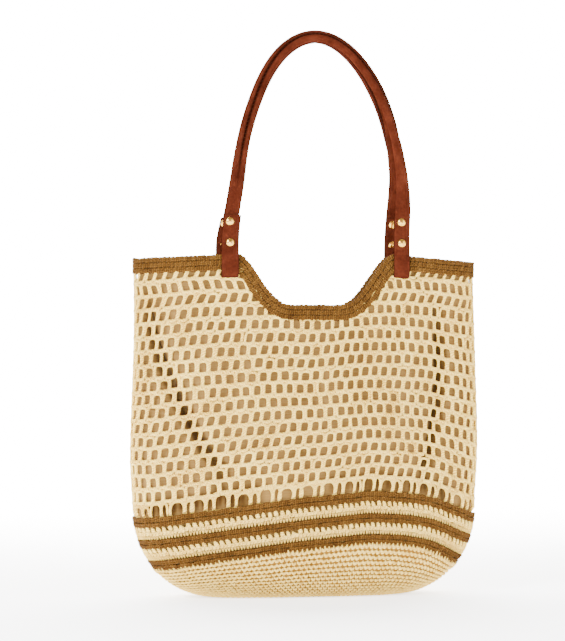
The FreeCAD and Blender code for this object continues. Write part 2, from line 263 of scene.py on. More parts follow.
@dataclass(frozen=True)
class YarnFinish:
    """Plied matte cotton yarn: a twist along each strand, painted darker between its plies, soft
    fuzz and an uneven dye, with painted light on beads lying further out and painted shade on
    deeper ones.
    """

    name: str
    deep: tuple[float, float, float]
    body: tuple[float, float, float]
    light: tuple[float, float, float]
    roughness: float = 0.85
    sheen: float = 0.1

    def material(self) -> bpy.types.Material:
        """Returns the yarn material, which follows the strands by their UV map.

        Returns:
            The material.
        """
        work = Nodes(self.name)
        uv = work.add("ShaderNodeUVMap", uv_map="strand").outputs[0]
        place = work.add("ShaderNodeTexCoord").outputs["Object"]
        parts = work.add("ShaderNodeSeparateXYZ")
        work.link(uv, parts.inputs[0])
        turns = work.math("ADD", parts.outputs[0], parts.outputs[1])
        angle = work.math("MULTIPLY", turns, 2.0 * math.pi * 2.0)
        wave = work.math("SINE", angle, 0.0)
        ply = work.math("MULTIPLY_ADD", wave, 0.5)
        ply.node.inputs[2].default_value = 0.5
        fuzz = work.noise(place, 2600.0, 4.0, 0.65)
        patch = work.noise(place, 28.0, 2.0)
        # The attribute read here mixes a random tone with painted light and shade: beads lying
        # further out are lighter, deeper beads and the dense wall's backing darker.
        tone_and_painted_shading = work.add("ShaderNodeAttribute", attribute_name="tone_and_painted_shading").outputs["Fac"]
        # The ply wave also sets the colour: painted shade in the grooves between the plies,
        # beside the bump.
        tone = work.math("MULTIPLY", ply, 0.40)
        tone = work.math("ADD", tone, work.math("MULTIPLY", fuzz, 0.30))
        tone = work.math("ADD", tone, work.math("MULTIPLY", patch, 0.22))
        tone = work.math("ADD", tone, work.math("MULTIPLY", tone_and_painted_shading, 0.26))
        colour = work.ramp(tone, [(0.22, self.deep), (0.52, self.body), (0.86, self.light)])
        relief = work.bump(ply, 0.0008, 0.9)
        relief = work.bump(fuzz, 0.0003, 0.55, relief)
        rough = work.math("MULTIPLY_ADD", fuzz, 0.12)
        rough.node.inputs[2].default_value = self.roughness - 0.06
        return work.finish(colour, rough, relief, Sheen_Weight=self.sheen,
                           Sheen_Roughness=0.5, Specular_IOR_Level=0.02)


@dataclass(frozen=True)
class ClothFinish:
    """Plain-weave lining cloth with slubs in its threads, and painted shade mixed in where its
    fold attribute is set.
    """

    name: str
    deep: tuple[float, float, float]
    body: tuple[float, float, float]
    light: tuple[float, float, float]
    shade: tuple[float, float, float]
    threads: float = 1400.0

    def material(self) -> bpy.types.Material:
        """Returns the cloth material, woven along its own UV map in metres.

        Returns:
            The material.
        """
        work = Nodes(self.name)
        uv = work.add("ShaderNodeUVMap", uv_map="cloth").outputs[0]
        parts = work.add("ShaderNodeSeparateXYZ")
        work.link(uv, parts.inputs[0])
        pitch = self.threads * math.pi
        warp = work.math("SINE", work.math("MULTIPLY", parts.outputs[0], pitch), 0.0)
        weft = work.math("SINE", work.math("MULTIPLY", parts.outputs[1], pitch), 0.0)
        weave = work.math("MULTIPLY", warp, weft)
        stretch = work.add("ShaderNodeMapping")
        stretch.inputs["Scale"].default_value = (60.0, 900.0, 1.0)
        work.link(uv, stretch.inputs["Vector"])
        slub = work.noise(stretch.outputs[0], 1.0, 3.0)
        patch = work.noise(uv, 14.0, 3.0)
        tone = work.math("MULTIPLY_ADD", weave, 0.12)
        tone.node.inputs[2].default_value = 0.1
        tone = work.math("ADD", tone, work.math("MULTIPLY", slub, 0.4))
        tone = work.math("ADD", tone, work.math("MULTIPLY", patch, 0.4))
        colour = work.ramp(tone, [(0.3, self.deep), (0.5, self.body), (0.75, self.light)])
        relief = work.bump(weave, 0.0002, 0.5)
        relief = work.bump(slub, 0.0003, 0.4, relief)
        # Painted shade: the colour is mixed towards the shade colour deep in the lining's folds
        # and in a band above the stripes.
        fold = work.add("ShaderNodeAttribute", attribute_name="fold").outputs["Fac"]
        colour = work.mix(fold, colour, self.shade)
        return work.finish(colour, 0.8, relief, Sheen_Weight=0.03,
                           Specular_IOR_Level=0.02)


@dataclass(frozen=True)
class LeatherFinish:
    """Waxed vegetable-tanned leather: fine grain, soft mottling and dark worn edges."""

    name: str
    deep: tuple[float, float, float]
    body: tuple[float, float, float]
    light: tuple[float, float, float]

    def material(self) -> bpy.types.Material:
        """Returns the leather material; its edge attribute darkens cut edges and seams.

        Returns:
            The material.
        """
        work = Nodes(self.name)
        place = work.add("ShaderNodeTexCoord").outputs["Object"]
        mottle = work.noise(place, 60.0, 5.0, 0.6)
        streak = work.noise(place, 420.0, 3.0)
        pores = work.add("ShaderNodeTexVoronoi", feature="DISTANCE_TO_EDGE", Scale=1500.0)
        work.link(place, pores.inputs["Vector"])
        cells = work.math("MINIMUM", pores.outputs["Distance"], 0.12)
        edge = work.add("ShaderNodeAttribute", attribute_name="edge").outputs["Fac"]
        tone = work.math("MULTIPLY", mottle, 0.62)
        tone = work.math("ADD", tone, work.math("MULTIPLY", streak, 0.3))
        colour = work.ramp(tone, [(0.3, self.deep), (0.47, self.body), (0.66, self.light)])
        dark = tuple(channel * 0.45 for channel in self.deep)
        colour = work.mix(edge, colour, dark)
        rough = work.math("MULTIPLY_ADD", streak, 0.3)
        rough.node.inputs[2].default_value = 0.42
        relief = work.bump(cells, 0.0004, 0.5)
        relief = work.bump(mottle, 0.0006, 0.3, relief)
        return work.finish(colour, rough, relief, Specular_IOR_Level=0.0)


@dataclass(frozen=True)
class MetalFinish:
    """Pale gold plating, polished, with faint rubbed scratches."""

    name: str
    body: tuple[float, float, float]
    worn: tuple[float, float, float]

    def material(self) -> bpy.types.Material:
        """Returns the plated metal material.

        Returns:
            The material.
        """
        work = Nodes(self.name)
        place = work.add("ShaderNodeTexCoord").outputs["Object"]
        stretch = work.add("ShaderNodeMapping")
        stretch.inputs["Scale"].default_value = (5200.0, 900.0, 700.0)
        work.link(place, stretch.inputs["Vector"])
        scratch = work.noise(stretch.outputs[0], 1.0, 2.0)
        cloud = work.noise(place, 500.0, 3.0)
        colour = work.ramp(cloud, [(0.35, self.worn), (0.6, self.body)])
        rough = work.math("MULTIPLY_ADD", cloud, 0.18)
        rough.node.inputs[2].default_value = 0.12
        relief = work.bump(scratch, 0.00005, 0.3)
        return work.finish(colour, rough, relief, Metallic=1.0)


@dataclass(frozen=True)
class StudioFinish:
    """The pale matte floor and backdrop."""

    name: str
    tone: tuple[float, float, float]
    near_glow: float
    far_glow: float

    def material(self) -> bpy.types.Material:
        """Returns the lit studio sheet, whose glow rises softly behind the bag.

        Returns:
            The material.
        """
        work = Nodes(self.name)
        place = work.add("ShaderNodeTexCoord").outputs["Object"]
        cloud = work.noise(place, 3.0, 2.0)
        dim = tuple(channel * 0.985 for channel in self.tone)
        colour = work.ramp(cloud, [(0.3, dim), (0.7, self.tone)])
        relief = work.bump(cloud, 0.0001, 0.1)
        parts = work.add("ShaderNodeSeparateXYZ")
        work.link(place, parts.inputs[0])
        fade = work.add("ShaderNodeMapRange", interpolation_type="SMOOTHSTEP")
        for slot, value in enumerate((0.05, 1.1, self.near_glow, self.far_glow), start=1):
            fade.inputs[slot].default_value = value
        work.link(parts.outputs[1], fade.inputs[0])
        work.link(fade.outputs[0], work.shader.inputs["Emission Strength"])
        work.shader.inputs["Emission Color"].default_value = (1.0, 1.0, 1.0, 1.0)
        return work.finish(colour, 0.9, relief, Specular_IOR_Level=0.1)


CREAM_YARN = YarnFinish("cream_cotton_yarn", (0.40, 0.190, 0.030), (0.82, 0.525, 0.098),
                        (0.96, 0.71, 0.20), 0.85, 0.02)
BROWN_YARN = YarnFinish("brown_cotton_yarn", (0.026, 0.0090, 0.0014), (0.082, 0.034, 0.0058),
                        (0.145, 0.068, 0.0135), 0.9, 0.02)
# The lining's last colour is painted shade, mixed in deep in its folds and in a band above the
# stripes.
LINING_CLOTH = ClothFinish("tan_lining_cloth", (0.17, 0.092, 0.024), (0.26, 0.152, 0.046),
                           (0.35, 0.220, 0.075), (0.038, 0.0130, 0.0030))
BROWN_LEATHER = LeatherFinish("brown_strap_leather", (0.025, 0.0046, 0.0022),
                              (0.045, 0.0093, 0.0045), (0.070, 0.0160, 0.0075))
SEAM_THREAD = YarnFinish("seam_thread", (0.010, 0.002, 0.001), (0.022, 0.005, 0.002),
                         (0.04, 0.010, 0.004), 0.7, 0.0)
PALE_GOLD = MetalFinish("pale_gold_plating", (0.74, 0.43, 0.095), (0.48, 0.26, 0.045))
STUDIO_WHITE = StudioFinish("studio_white", (0.95, 0.95, 0.945), 2.2, 10.5)


# ------------------------------------------------------------------ the bag's surface

@dataclass
class BagForm:
    """The outer skin of the crocheted wall, and where its rounds lie.

    A place on the skin is (s, z): s is the distance round the belly from the middle of the
    front panel, positive towards +X, and z the height.
    """

    base_half_length: float = 0.100
    base_half_depth: float = 0.026
    bulge_height: float = 0.094
    bulge_half_width: float = 0.186
    bulge_half_depth: float = 0.050
    belly_height: float = 0.150
    straight_height: float = 0.312
    plan_exponent: float = 2.8
    belly_half_width: float = field(init=False)
    belly_half_depth: float = field(init=False)
    mouth_half_width: float = field(init=False)
    mouth_half_depth: float = field(init=False)
    ear_height: float = field(init=False)
    panel_shift: float = field(init=False)
    around: float = field(init=False)
    _turns: np.ndarray = field(init=False, repr=False)
    _lengths: np.ndarray = field(init=False, repr=False)
    _waves: np.ndarray = field(init=False, repr=False)

    def __post_init__(self) -> None:
        """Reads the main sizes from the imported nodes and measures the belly's round."""
        high = node_box("mesh_body")[1]
        self.belly_half_width = float(high[0])
        self.belly_half_depth = float(high[1])
        rim_high = node_box("rim_round_upper")[1]
        self.mouth_half_width = float(rim_high[0]) - 1.2 * MM
        self.mouth_half_depth = float(rim_high[1]) - 1.6 * MM
        self.ear_height = float(rim_high[2])
        left = node_box("front_left_loop")
        right = node_box("front_right_loop")
        self.panel_shift = float(left[0][0] + right[1][0]) / 2.0
        turn = np.linspace(-QUARTER, 3.0 * QUARTER, 12001)
        x, y = self._oval(turn, self.belly_half_width, self.belly_half_depth)
        steps = np.hypot(np.diff(x), np.diff(y))
        self._turns = turn
        self._lengths = np.concatenate([[0.0], np.cumsum(steps)])
        self.around = float(self._lengths[-1])
        self._waves = np.random.default_rng(7).uniform(0.0, 2.0 * math.pi, (6,))

    def _oval(self, turn: np.ndarray, half_width: np.ndarray | float,
              half_depth: np.ndarray | float) -> tuple[np.ndarray, np.ndarray]:
        """Returns x and y of a plan oval at the given turns.

        Args:
            turn: Angles round the oval.
            half_width: Its half width.
            half_depth: Its half depth.

        Returns:
            x and y.
        """
        power = 2.0 / self.plan_exponent
        across, along = np.cos(turn), np.sin(turn)
        x = half_width * np.sign(across) * np.abs(across) ** power
        y = half_depth * np.sign(along) * np.abs(along) ** power
        return x, y

    def half_sizes(self, z: np.ndarray) -> tuple[np.ndarray, np.ndarray]:
        """Returns the plan oval's half width and half depth at each height.

        Args:
            z: Heights.

        Returns:
            Half widths and half depths.
        """
        swing = np.arccos(np.clip(1.0 - z / self.bulge_height, -1.0, 1.0))
        swell = np.sin(np.minimum(swing, QUARTER))
        width = self.base_half_length + (self.bulge_half_width - self.base_half_length) * swell
        depth = self.base_half_depth + (self.bulge_half_depth - self.base_half_depth) * swell
        straight = self.straight_height
        rise = (z - self.bulge_height) / (self.belly_height - self.bulge_height)
        fall = (z - self.belly_height) / (straight + 0.02 - self.belly_height)
        width = width + (self.belly_half_width - self.bulge_half_width) * smooth_step(rise)
        depth = depth + (self.belly_half_depth - self.bulge_half_depth) * smooth_step(rise)
        width = width + (self.mouth_half_width - self.belly_half_width) * smooth_step(fall)
        depth = depth + (self.mouth_half_depth - self.belly_half_depth) * smooth_step(fall)
        return width, depth

    def share(self, s: np.ndarray) -> np.ndarray:
        """Returns -1 at the left gusset, 0 at a panel's middle and 1 at the right gusset.

        Args:
            s: Distance round from the front's middle.

        Returns:
            The share of the way to a gusset.
        """
        part = ((s / self.around + 0.5) % 1.0 - 0.5) * 4.0
        part = np.where(part > 1.0, 2.0 - part, part)
        return np.where(part < -1.0, -2.0 - part, part)

    def _bare(self, s: np.ndarray, z: np.ndarray) -> np.ndarray:
        """Returns the undented skin's point at each (s, z).

        Args:
            s: Distance round from the front's middle.
            z: Height.

        Returns:
            Points as rows of x, y, z.
        """
        along = (s + self.around) % self.around
        turn = np.interp(along, self._lengths, self._turns)
        x, y = self._oval(turn, *self.half_sizes(z))
        return np.stack([x, y, z], axis=-1)

    def point(self, s: np.ndarray, z: np.ndarray, out: np.ndarray | float) -> np.ndarray:
        """Returns points at the given distance out from the skin.

        Args:
            s: Distance round from the front's middle.
            z: Height.
            out: Distance out along the skin's normal.

        Returns:
            Points as rows of x, y, z.
        """
        step = 1.0 * MM
        low = np.maximum(z - step, 0.0)
        ahead = self._bare(s + step, z) - self._bare(s - step, z)
        upward = self._bare(s, low + 2.0 * step) - self._bare(s, low)
        normal = unit(np.cross(unit(ahead), unit(upward)))
        dent = self.dent(s, z)
        return self._bare(s, z) + normal * (np.asarray(out) + dent)[..., None]

    def dent(self, s: np.ndarray, z: np.ndarray) -> np.ndarray:
        """Returns how far the soft wall moves out: slow waves, and creases by the gussets.

        Args:
            s: Distance round from the front's middle.
            z: Height.

        Returns:
            Distances out, less than zero inwards.
        """
        a, b, c, d, e, f = self._waves
        lap = 2.0 * math.pi * s / self.around
        waves = 0.9 * np.sin(3.0 * lap + 9.0 * z + a) * np.sin(21.0 * z + b)
        waves += 0.6 * np.sin(7.0 * lap + c) * np.sin(33.0 * z + d)
        waves += 0.35 * np.sin(13.0 * lap + e) * np.sin(50.0 * z + f)
        left, right, strength = self.crease_lines(s, z)
        crease = np.exp(-((left / 0.045) ** 2)) * 5.0
        crease += np.exp(-((right / 0.040) ** 2)) * 4.0
        fade = smooth_step(z / 0.02) * smooth_step((0.362 - z) / 0.03)
        return (waves * fade - crease * strength) * MM

    def crease_lines(self, s: np.ndarray, z: np.ndarray) -> tuple[np.ndarray, ...]:
        """Returns how far each place lies from both creases, and their strength there.

        Args:
            s: Distance round from the front's middle.
            z: Height.

        Returns:
            Shares from the left crease and the right one, and their strength.
        """
        q = self.share(s)
        climb = np.clip((z - 0.14) / 0.15, 0.0, 1.0)
        left = q + 0.46 + 0.38 * climb ** 0.8
        right = q - 0.60 - 0.10 * np.sin(climb * math.pi * 0.6)
        strength = smooth_step((z - 0.10) / 0.06) * smooth_step((0.345 - z) / 0.08)
        return left, right, strength

    def pleat(self, s: np.ndarray, z: np.ndarray) -> np.ndarray:
        """Returns how far the lining falls back in the deep folds behind the creases.

        Args:
            s: Distance round from the front's middle.
            z: Height.

        Returns:
            Distances inwards.
        """
        left, right, strength = self.crease_lines(s, z)
        fold = 17.0 * np.exp(-((left / 0.026) ** 2)) + 13.0 * np.exp(-((right / 0.022) ** 2))
        return fold * strength * MM

    def in_shadow(self, s: np.ndarray, z: np.ndarray) -> np.ndarray:
        """Returns how much painted shade darkens the lining: deep in its folds and above the
        stripes.

        Args:
            s: Distance round from the front's middle.
            z: Height.

        Returns:
            Numbers from 0, plain, to 1, darkest.
        """
        left, right, strength = self.crease_lines(s, z)
        fold = np.exp(-((left / 0.030) ** 2)) + np.exp(-((right / 0.026) ** 2))
        q = self.share(s)
        above = z - 0.1235 + self.arch_drop(s)
        band = np.exp(-((above / 0.009) ** 4))
        span = smooth_step((q + 0.93) / 0.05) * smooth_step((-0.22 - q) / 0.15)
        span += 0.8 * smooth_step((q - 0.02) / 0.15) * smooth_step((0.8 - q) / 0.1)
        uneven = 0.75 + 0.25 * np.sin(160.0 * q + 1.0) * np.sin(53.0 * q)
        return np.clip(0.6 * fold * strength + 1.05 * band * span * uneven, 0.0, 1.0)

    def along(self, place: np.ndarray) -> np.ndarray:
        """Returns s for an even count along a round: stitches lie wider on one side.

        Args:
            place: Even distance along a round.

        Returns:
            Distance round from the front's middle.
        """
        lap = place / self.around
        half = self.around / (4.0 * math.pi)
        return place + 0.075 * half * (np.cos(4.0 * math.pi * lap) - 1.0)

    def arch_drop(self, s: np.ndarray) -> np.ndarray:
        """Returns how far the rounds near the bottom fall below their crown.

        Args:
            s: Distance round from the front's middle.

        Returns:
            Distances below the crown.
        """
        places = (-1.0, -0.82, -0.6, -0.36, -0.06, 0.3, 0.5, 0.64, 0.75, 0.87, 1.0)
        drops = (29.5, 27.5, 21.0, 14.5, 6.8, 0.0, 2.4, 8.0, 17.0, 26.0, 29.0)
        fine = np.linspace(-1.0, 1.0, 401)
        drop = np.interp(fine, places, drops)
        soft = np.exp(-np.linspace(-2.0, 2.0, 31) ** 2)
        soft /= soft.sum()
        padded = np.concatenate([drop[15:0:-1], drop, drop[-2:-17:-1]])
        return np.interp(self.share(s), fine, np.convolve(padded, soft, "valid")) * MM

    def edge_height(self, s: np.ndarray) -> np.ndarray:
        """Returns the top edge's height: an ear each side of the dip, easing to the ends.

        Args:
            s: Distance round from the front's middle.

        Returns:
            Heights.
        """
        spot = self._bare(s, np.full_like(s, 0.36))
        x = spot[..., 0]
        rear = smooth_step(spot[..., 1] / 0.02 + 0.5)
        away = np.abs(x - self.panel_shift - REAR_DIP_SHIFT * rear)
        climb = np.clip((away - 22.0 * MM) / (62.0 * MM), 0.0, 1.0) ** 1.35
        dip = 54.0 * MM * (1.0 - smooth_step(climb))
        ease = np.where(x > self.panel_shift, 8.5, 4.5) * MM
        ease = ease * np.clip((away - 0.085) / 0.1, 0.0, 1.0)
        return self.ear_height - dip - ease


# ------------------------------------------------------------------ flat yarn work

@dataclass
class Yarnwork:
    """Stitches as plain arrays, before or after wrapping."""

    points: np.ndarray
    corners: np.ndarray
    sides: np.ndarray
    strand: np.ndarray
    tone_and_painted_shading: np.ndarray

    def copies(self, places: np.ndarray, stretch: np.ndarray, tints: np.ndarray) -> Yarnwork:
        """Returns one copy of this work for each place.

        Args:
            places: Offsets, one row of x, y, z for each copy.
            stretch: Scales, one row for each copy.
            tints: A number from 0 to 1 for each copy.

        Returns:
            All the copies as one work.
        """
        count = len(places)
        size = len(self.points)
        points = self.points[None] * stretch[:, None, :] + places[:, None, :]
        corners = self.corners[None] + (np.arange(count) * size)[:, None]
        return Yarnwork(
            points.reshape(-1, 3), corners.reshape(-1), np.tile(self.sides, count),
            np.tile(self.strand, (count, 1)), np.repeat(tints, size) + np.tile(self.tone_and_painted_shading, count),
        )

    @staticmethod
    def joined(works: list[Yarnwork]) -> Yarnwork:
        """Returns several works as one.

        Args:
            works: Works in the order to join.

        Returns:
            All of them as one work.
        """
        shifts = np.cumsum([0] + [len(work.points) for work in works[:-1]])
        return Yarnwork(
            np.concatenate([work.points for work in works]),
            np.concatenate([work.corners + shift for work, shift in zip(works, shifts)]),
            np.concatenate([work.sides for work in works]),
            np.concatenate([work.strand for work in works]),
            np.concatenate([work.tone_and_painted_shading for work in works]),
        )

    def to_object(self, name: str, material: bpy.types.Material) -> bpy.types.Object:
        """Returns a smooth-shaded mesh object of this work.

        Args:
            name: The object's and mesh's name.
            material: Its material.

        Returns:
            The object, at the origin.
        """
        mesh = bpy.data.meshes.new(name)
        mesh.vertices.add(len(self.points))
        mesh.vertices.foreach_set("co", self.points.astype(np.float32).ravel())
        mesh.loops.add(len(self.corners))
        mesh.loops.foreach_set("vertex_index", self.corners.astype(np.int32))
        mesh.polygons.add(len(self.sides))
        starts = np.concatenate([[0], np.cumsum(self.sides)[:-1]])
        mesh.polygons.foreach_set("loop_start", starts.astype(np.int32))
        mesh.polygons.foreach_set("use_smooth", np.ones(len(self.sides), dtype=bool))
        layer = mesh.uv_layers.new(name="strand")
        layer.data.foreach_set("uv", self.strand.astype(np.float32).ravel())
        attribute = mesh.attributes.new("tone_and_painted_shading", "FLOAT", "POINT")
        attribute.data.foreach_set("value", self.tone_and_painted_shading.astype(np.float32))
        mesh.update(calc_edges=True)
        mesh.validate()
        mesh.materials.append(material)
        thing = bpy.data.objects.new(name, mesh)
        bpy.context.scene.collection.objects.link(thing)
        return thing


@dataclass
class Bead:
    """One plump stretch of yarn in a stitch, in millimetres of flat work."""

    x: float
    y: float
    out: float
    length: float
    width: float
    depth: float
    tilt: float = 0.0
    segments: int = 6
    rings: int = 4
    # Painted light and shade: a bead lying further out is given a lighter tone, a deeper one a
    # darker tone.
    tone_and_painted_shading: float = 0.0

    def model(self) -> Yarnwork:
        """Returns the bead, modelled from a sphere laid along its strand.

        Returns:
            The bead as flat work.
        """
        deselect_all()
        bpy.ops.mesh.primitive_uv_sphere_add(
            segments=self.segments, ring_count=self.rings, radius=0.5,
            location=(self.x * MM, self.y * MM, self.out * MM),
            rotation=(-QUARTER, 0.0, -math.radians(self.tilt)),
            scale=(self.width * MM, self.depth * MM, self.length * MM),
        )
        thing = bpy.context.object
        bpy.ops.object.transform_apply(location=True, rotation=True, scale=True)
        work = read_mesh(thing.data, self.tone_and_painted_shading)
        bpy.data.objects.remove(thing)
        work.strand[:, 1] *= self.length / YARN_PITCH
        return work


@dataclass
class Loop:
    """One closed loop of yarn round a hole, in millimetres of flat work."""

    x: float
    y: float
    out: float
    width: float
    height: float
    thick: float
    depth: float
    upper_left: float = 3.4
    upper_right: float = 2.6
    lower: float = 4.0
    lean: float = 0.06
    segments: int = 18
    sides: int = 6
    tone_and_painted_shading: float = 0.0

    def path(self, turn: np.ndarray) -> np.ndarray:
        """Returns the strand's middle line at each turn, round corners and all.

        Args:
            turn: Angles round the loop.

        Returns:
            Rows of x and y in millimetres.
        """
        half_x = (self.width + self.thick) / 2.0
        half_y = (self.height + self.thick) / 2.0
        across, up = np.cos(turn), np.sin(turn)
        upper = self.upper_left + (self.upper_right - self.upper_left) * smooth_step(
            0.5 + 1.2 * across)
        power = 2.0 / (self.lower + (upper - self.lower) * smooth_step(0.5 + 1.5 * up))
        x = half_x * np.sign(across) * np.abs(across) ** power
        y = half_y * np.sign(up) * np.abs(up) ** power
        return np.stack([x + self.lean * y, y], axis=-1)

    def model(self) -> Yarnwork:
        """Returns the loop, modelled from a ring drawn out to the hole's shape.

        Returns:
            The loop as flat work.
        """
        deselect_all()
        bpy.ops.mesh.primitive_torus_add(
            major_segments=self.segments, minor_segments=self.sides,
            major_radius=1.0, minor_radius=0.25, generate_uvs=True,
        )
        thing = bpy.context.object
        work = read_mesh(thing.data, self.tone_and_painted_shading)
        bpy.data.objects.remove(thing)
        round_x, round_y = work.points[:, 0], work.points[:, 1]
        turn = np.arctan2(round_y, round_x)
        swell = (np.hypot(round_x, round_y) - 1.0) / 0.25
        lift = work.points[:, 2] / 0.25
        middle = self.path(turn)
        forward = unit(self.path(turn + 0.02) - self.path(turn - 0.02))
        outward = np.stack([forward[:, 1], -forward[:, 0]], axis=-1)
        flat = middle + outward * (swell * self.thick / 2.0)[:, None]
        work.points = np.stack([
            flat[:, 0] + self.x, flat[:, 1] + self.y, lift * self.depth / 2.0 + self.out,
        ], axis=-1) * MM
        work.strand[:, 0] *= (self.width + self.height) * 2.0 / YARN_PITCH
        return work


def read_mesh(mesh: bpy.types.Mesh, tone_and_painted_shading: float) -> Yarnwork:
    """Returns a mesh's points, faces and first UV map as plain arrays.

    Args:
        mesh: The mesh to read.
        tone_and_painted_shading: The tone to give every point, which carries painted light and
            shade for its bead's depth.

    Returns:
        The mesh as flat work.
    """
    points = np.empty(len(mesh.vertices) * 3)
    mesh.vertices.foreach_get("co", points)
    corners = np.empty(len(mesh.loops), dtype=np.int64)
    mesh.loops.foreach_get("vertex_index", corners)
    sides = np.empty(len(mesh.polygons), dtype=np.int64)
    mesh.polygons.foreach_get("loop_total", sides)
    strand = np.empty(len(mesh.loops) * 2)
    mesh.uv_layers.active.data.foreach_get("uv", strand)
    count = len(points) // 3
    return Yarnwork(points.reshape(-1, 3), corners, sides, strand.reshape(-1, 2),
                    np.full(count, tone_and_painted_shading))


def stitch(*beads: Bead | Loop) -> Yarnwork:
    """Returns one stitch made of its beads."""
    return Yarnwork.joined([bead.model() for bead in beads])


@dataclass
class Row:
    """Where one round's stitches go, before wrapping."""

    pitch: float
    height: float
    stagger: float = 0.0
    jitter: float = 0.25
    swell: float = 0.06
    tone_and_painted_shading: float = 0.5


def lay_row(work: Yarnwork, row: Row, length: float,
            seed: np.random.Generator) -> Yarnwork:
    """Returns a round of copies along x.

    Args:
        work: The stitch.
        row: Its spacing and unevenness, in millimetres.
        length: The round's length in metres.
        seed: The source of unevenness.

    Returns:
        The copies, with their own x and y.
    """
    count = max(3, round(length / (row.pitch * MM)))
    step = length / count
    places = np.zeros((count, 3))
    places[:, 0] = step * (np.arange(count) + row.stagger)
    places[:, :2] += seed.normal(0.0, row.jitter * MM, (count, 2))
    stretch = 1.0 + seed.normal(0.0, row.swell, (count, 3))
    stretch[:, 0] *= step / (row.pitch * MM)
    tints = row.tone_and_painted_shading + seed.normal(0.0, 0.22, count)
    return work.copies(places, stretch, tints)


# ------------------------------------------------------------------ crochet rounds

@dataclass
class Band:
    """A zone of the wall between two joints, counted in rows from its lower joint."""

    form: BagForm
    lower: float
    upper: float
    rows: float

    def height(self, s: np.ndarray, row: np.ndarray) -> np.ndarray:
        """Returns the height of each row place; both joints arch alike."""
        drop = self.form.arch_drop(s)
        return self.lower - drop + (self.upper - self.lower) * row / self.rows

    def wrap(self, work: Yarnwork, row_height: float, row: float) -> Yarnwork:
        """Moves flat work of one row onto the skin.

        Args:
            work: The flat row, y from 0 at the row's foot.
            row_height: The flat row's height in metres.
            row: Which row it is.

        Returns:
            The same work in place.
        """
        flat = work.points
        s = self.form.along(flat[:, 0])
        z = self.height(s, row + flat[:, 1] / row_height)
        work.points = self.form.point(s, np.maximum(z, 0.2 * MM), flat[:, 2])
        return work


@dataclass
class MeshBand(Band):
    """The open mesh, whose rows level out from the arched joint up to the top edge."""

    dip_sag: float = 0.005

    def height(self, s: np.ndarray, row: np.ndarray) -> np.ndarray:
        """Returns the height of each row place.

        Args:
            s: Distance round from the front's middle.
            row: Place in the band, counted in rows.

        Returns:
            Heights.
        """
        q = self.form.share(s)
        low = self.lower - self.form.arch_drop(s)
        sag = self.dip_sag * np.exp(-(((q - 0.04) / 0.16) ** 2))
        high = self.upper - sag - 0.006 * smooth_step((np.abs(q) - 0.45) / 0.5)
        return low + (high - low) * row / self.rows


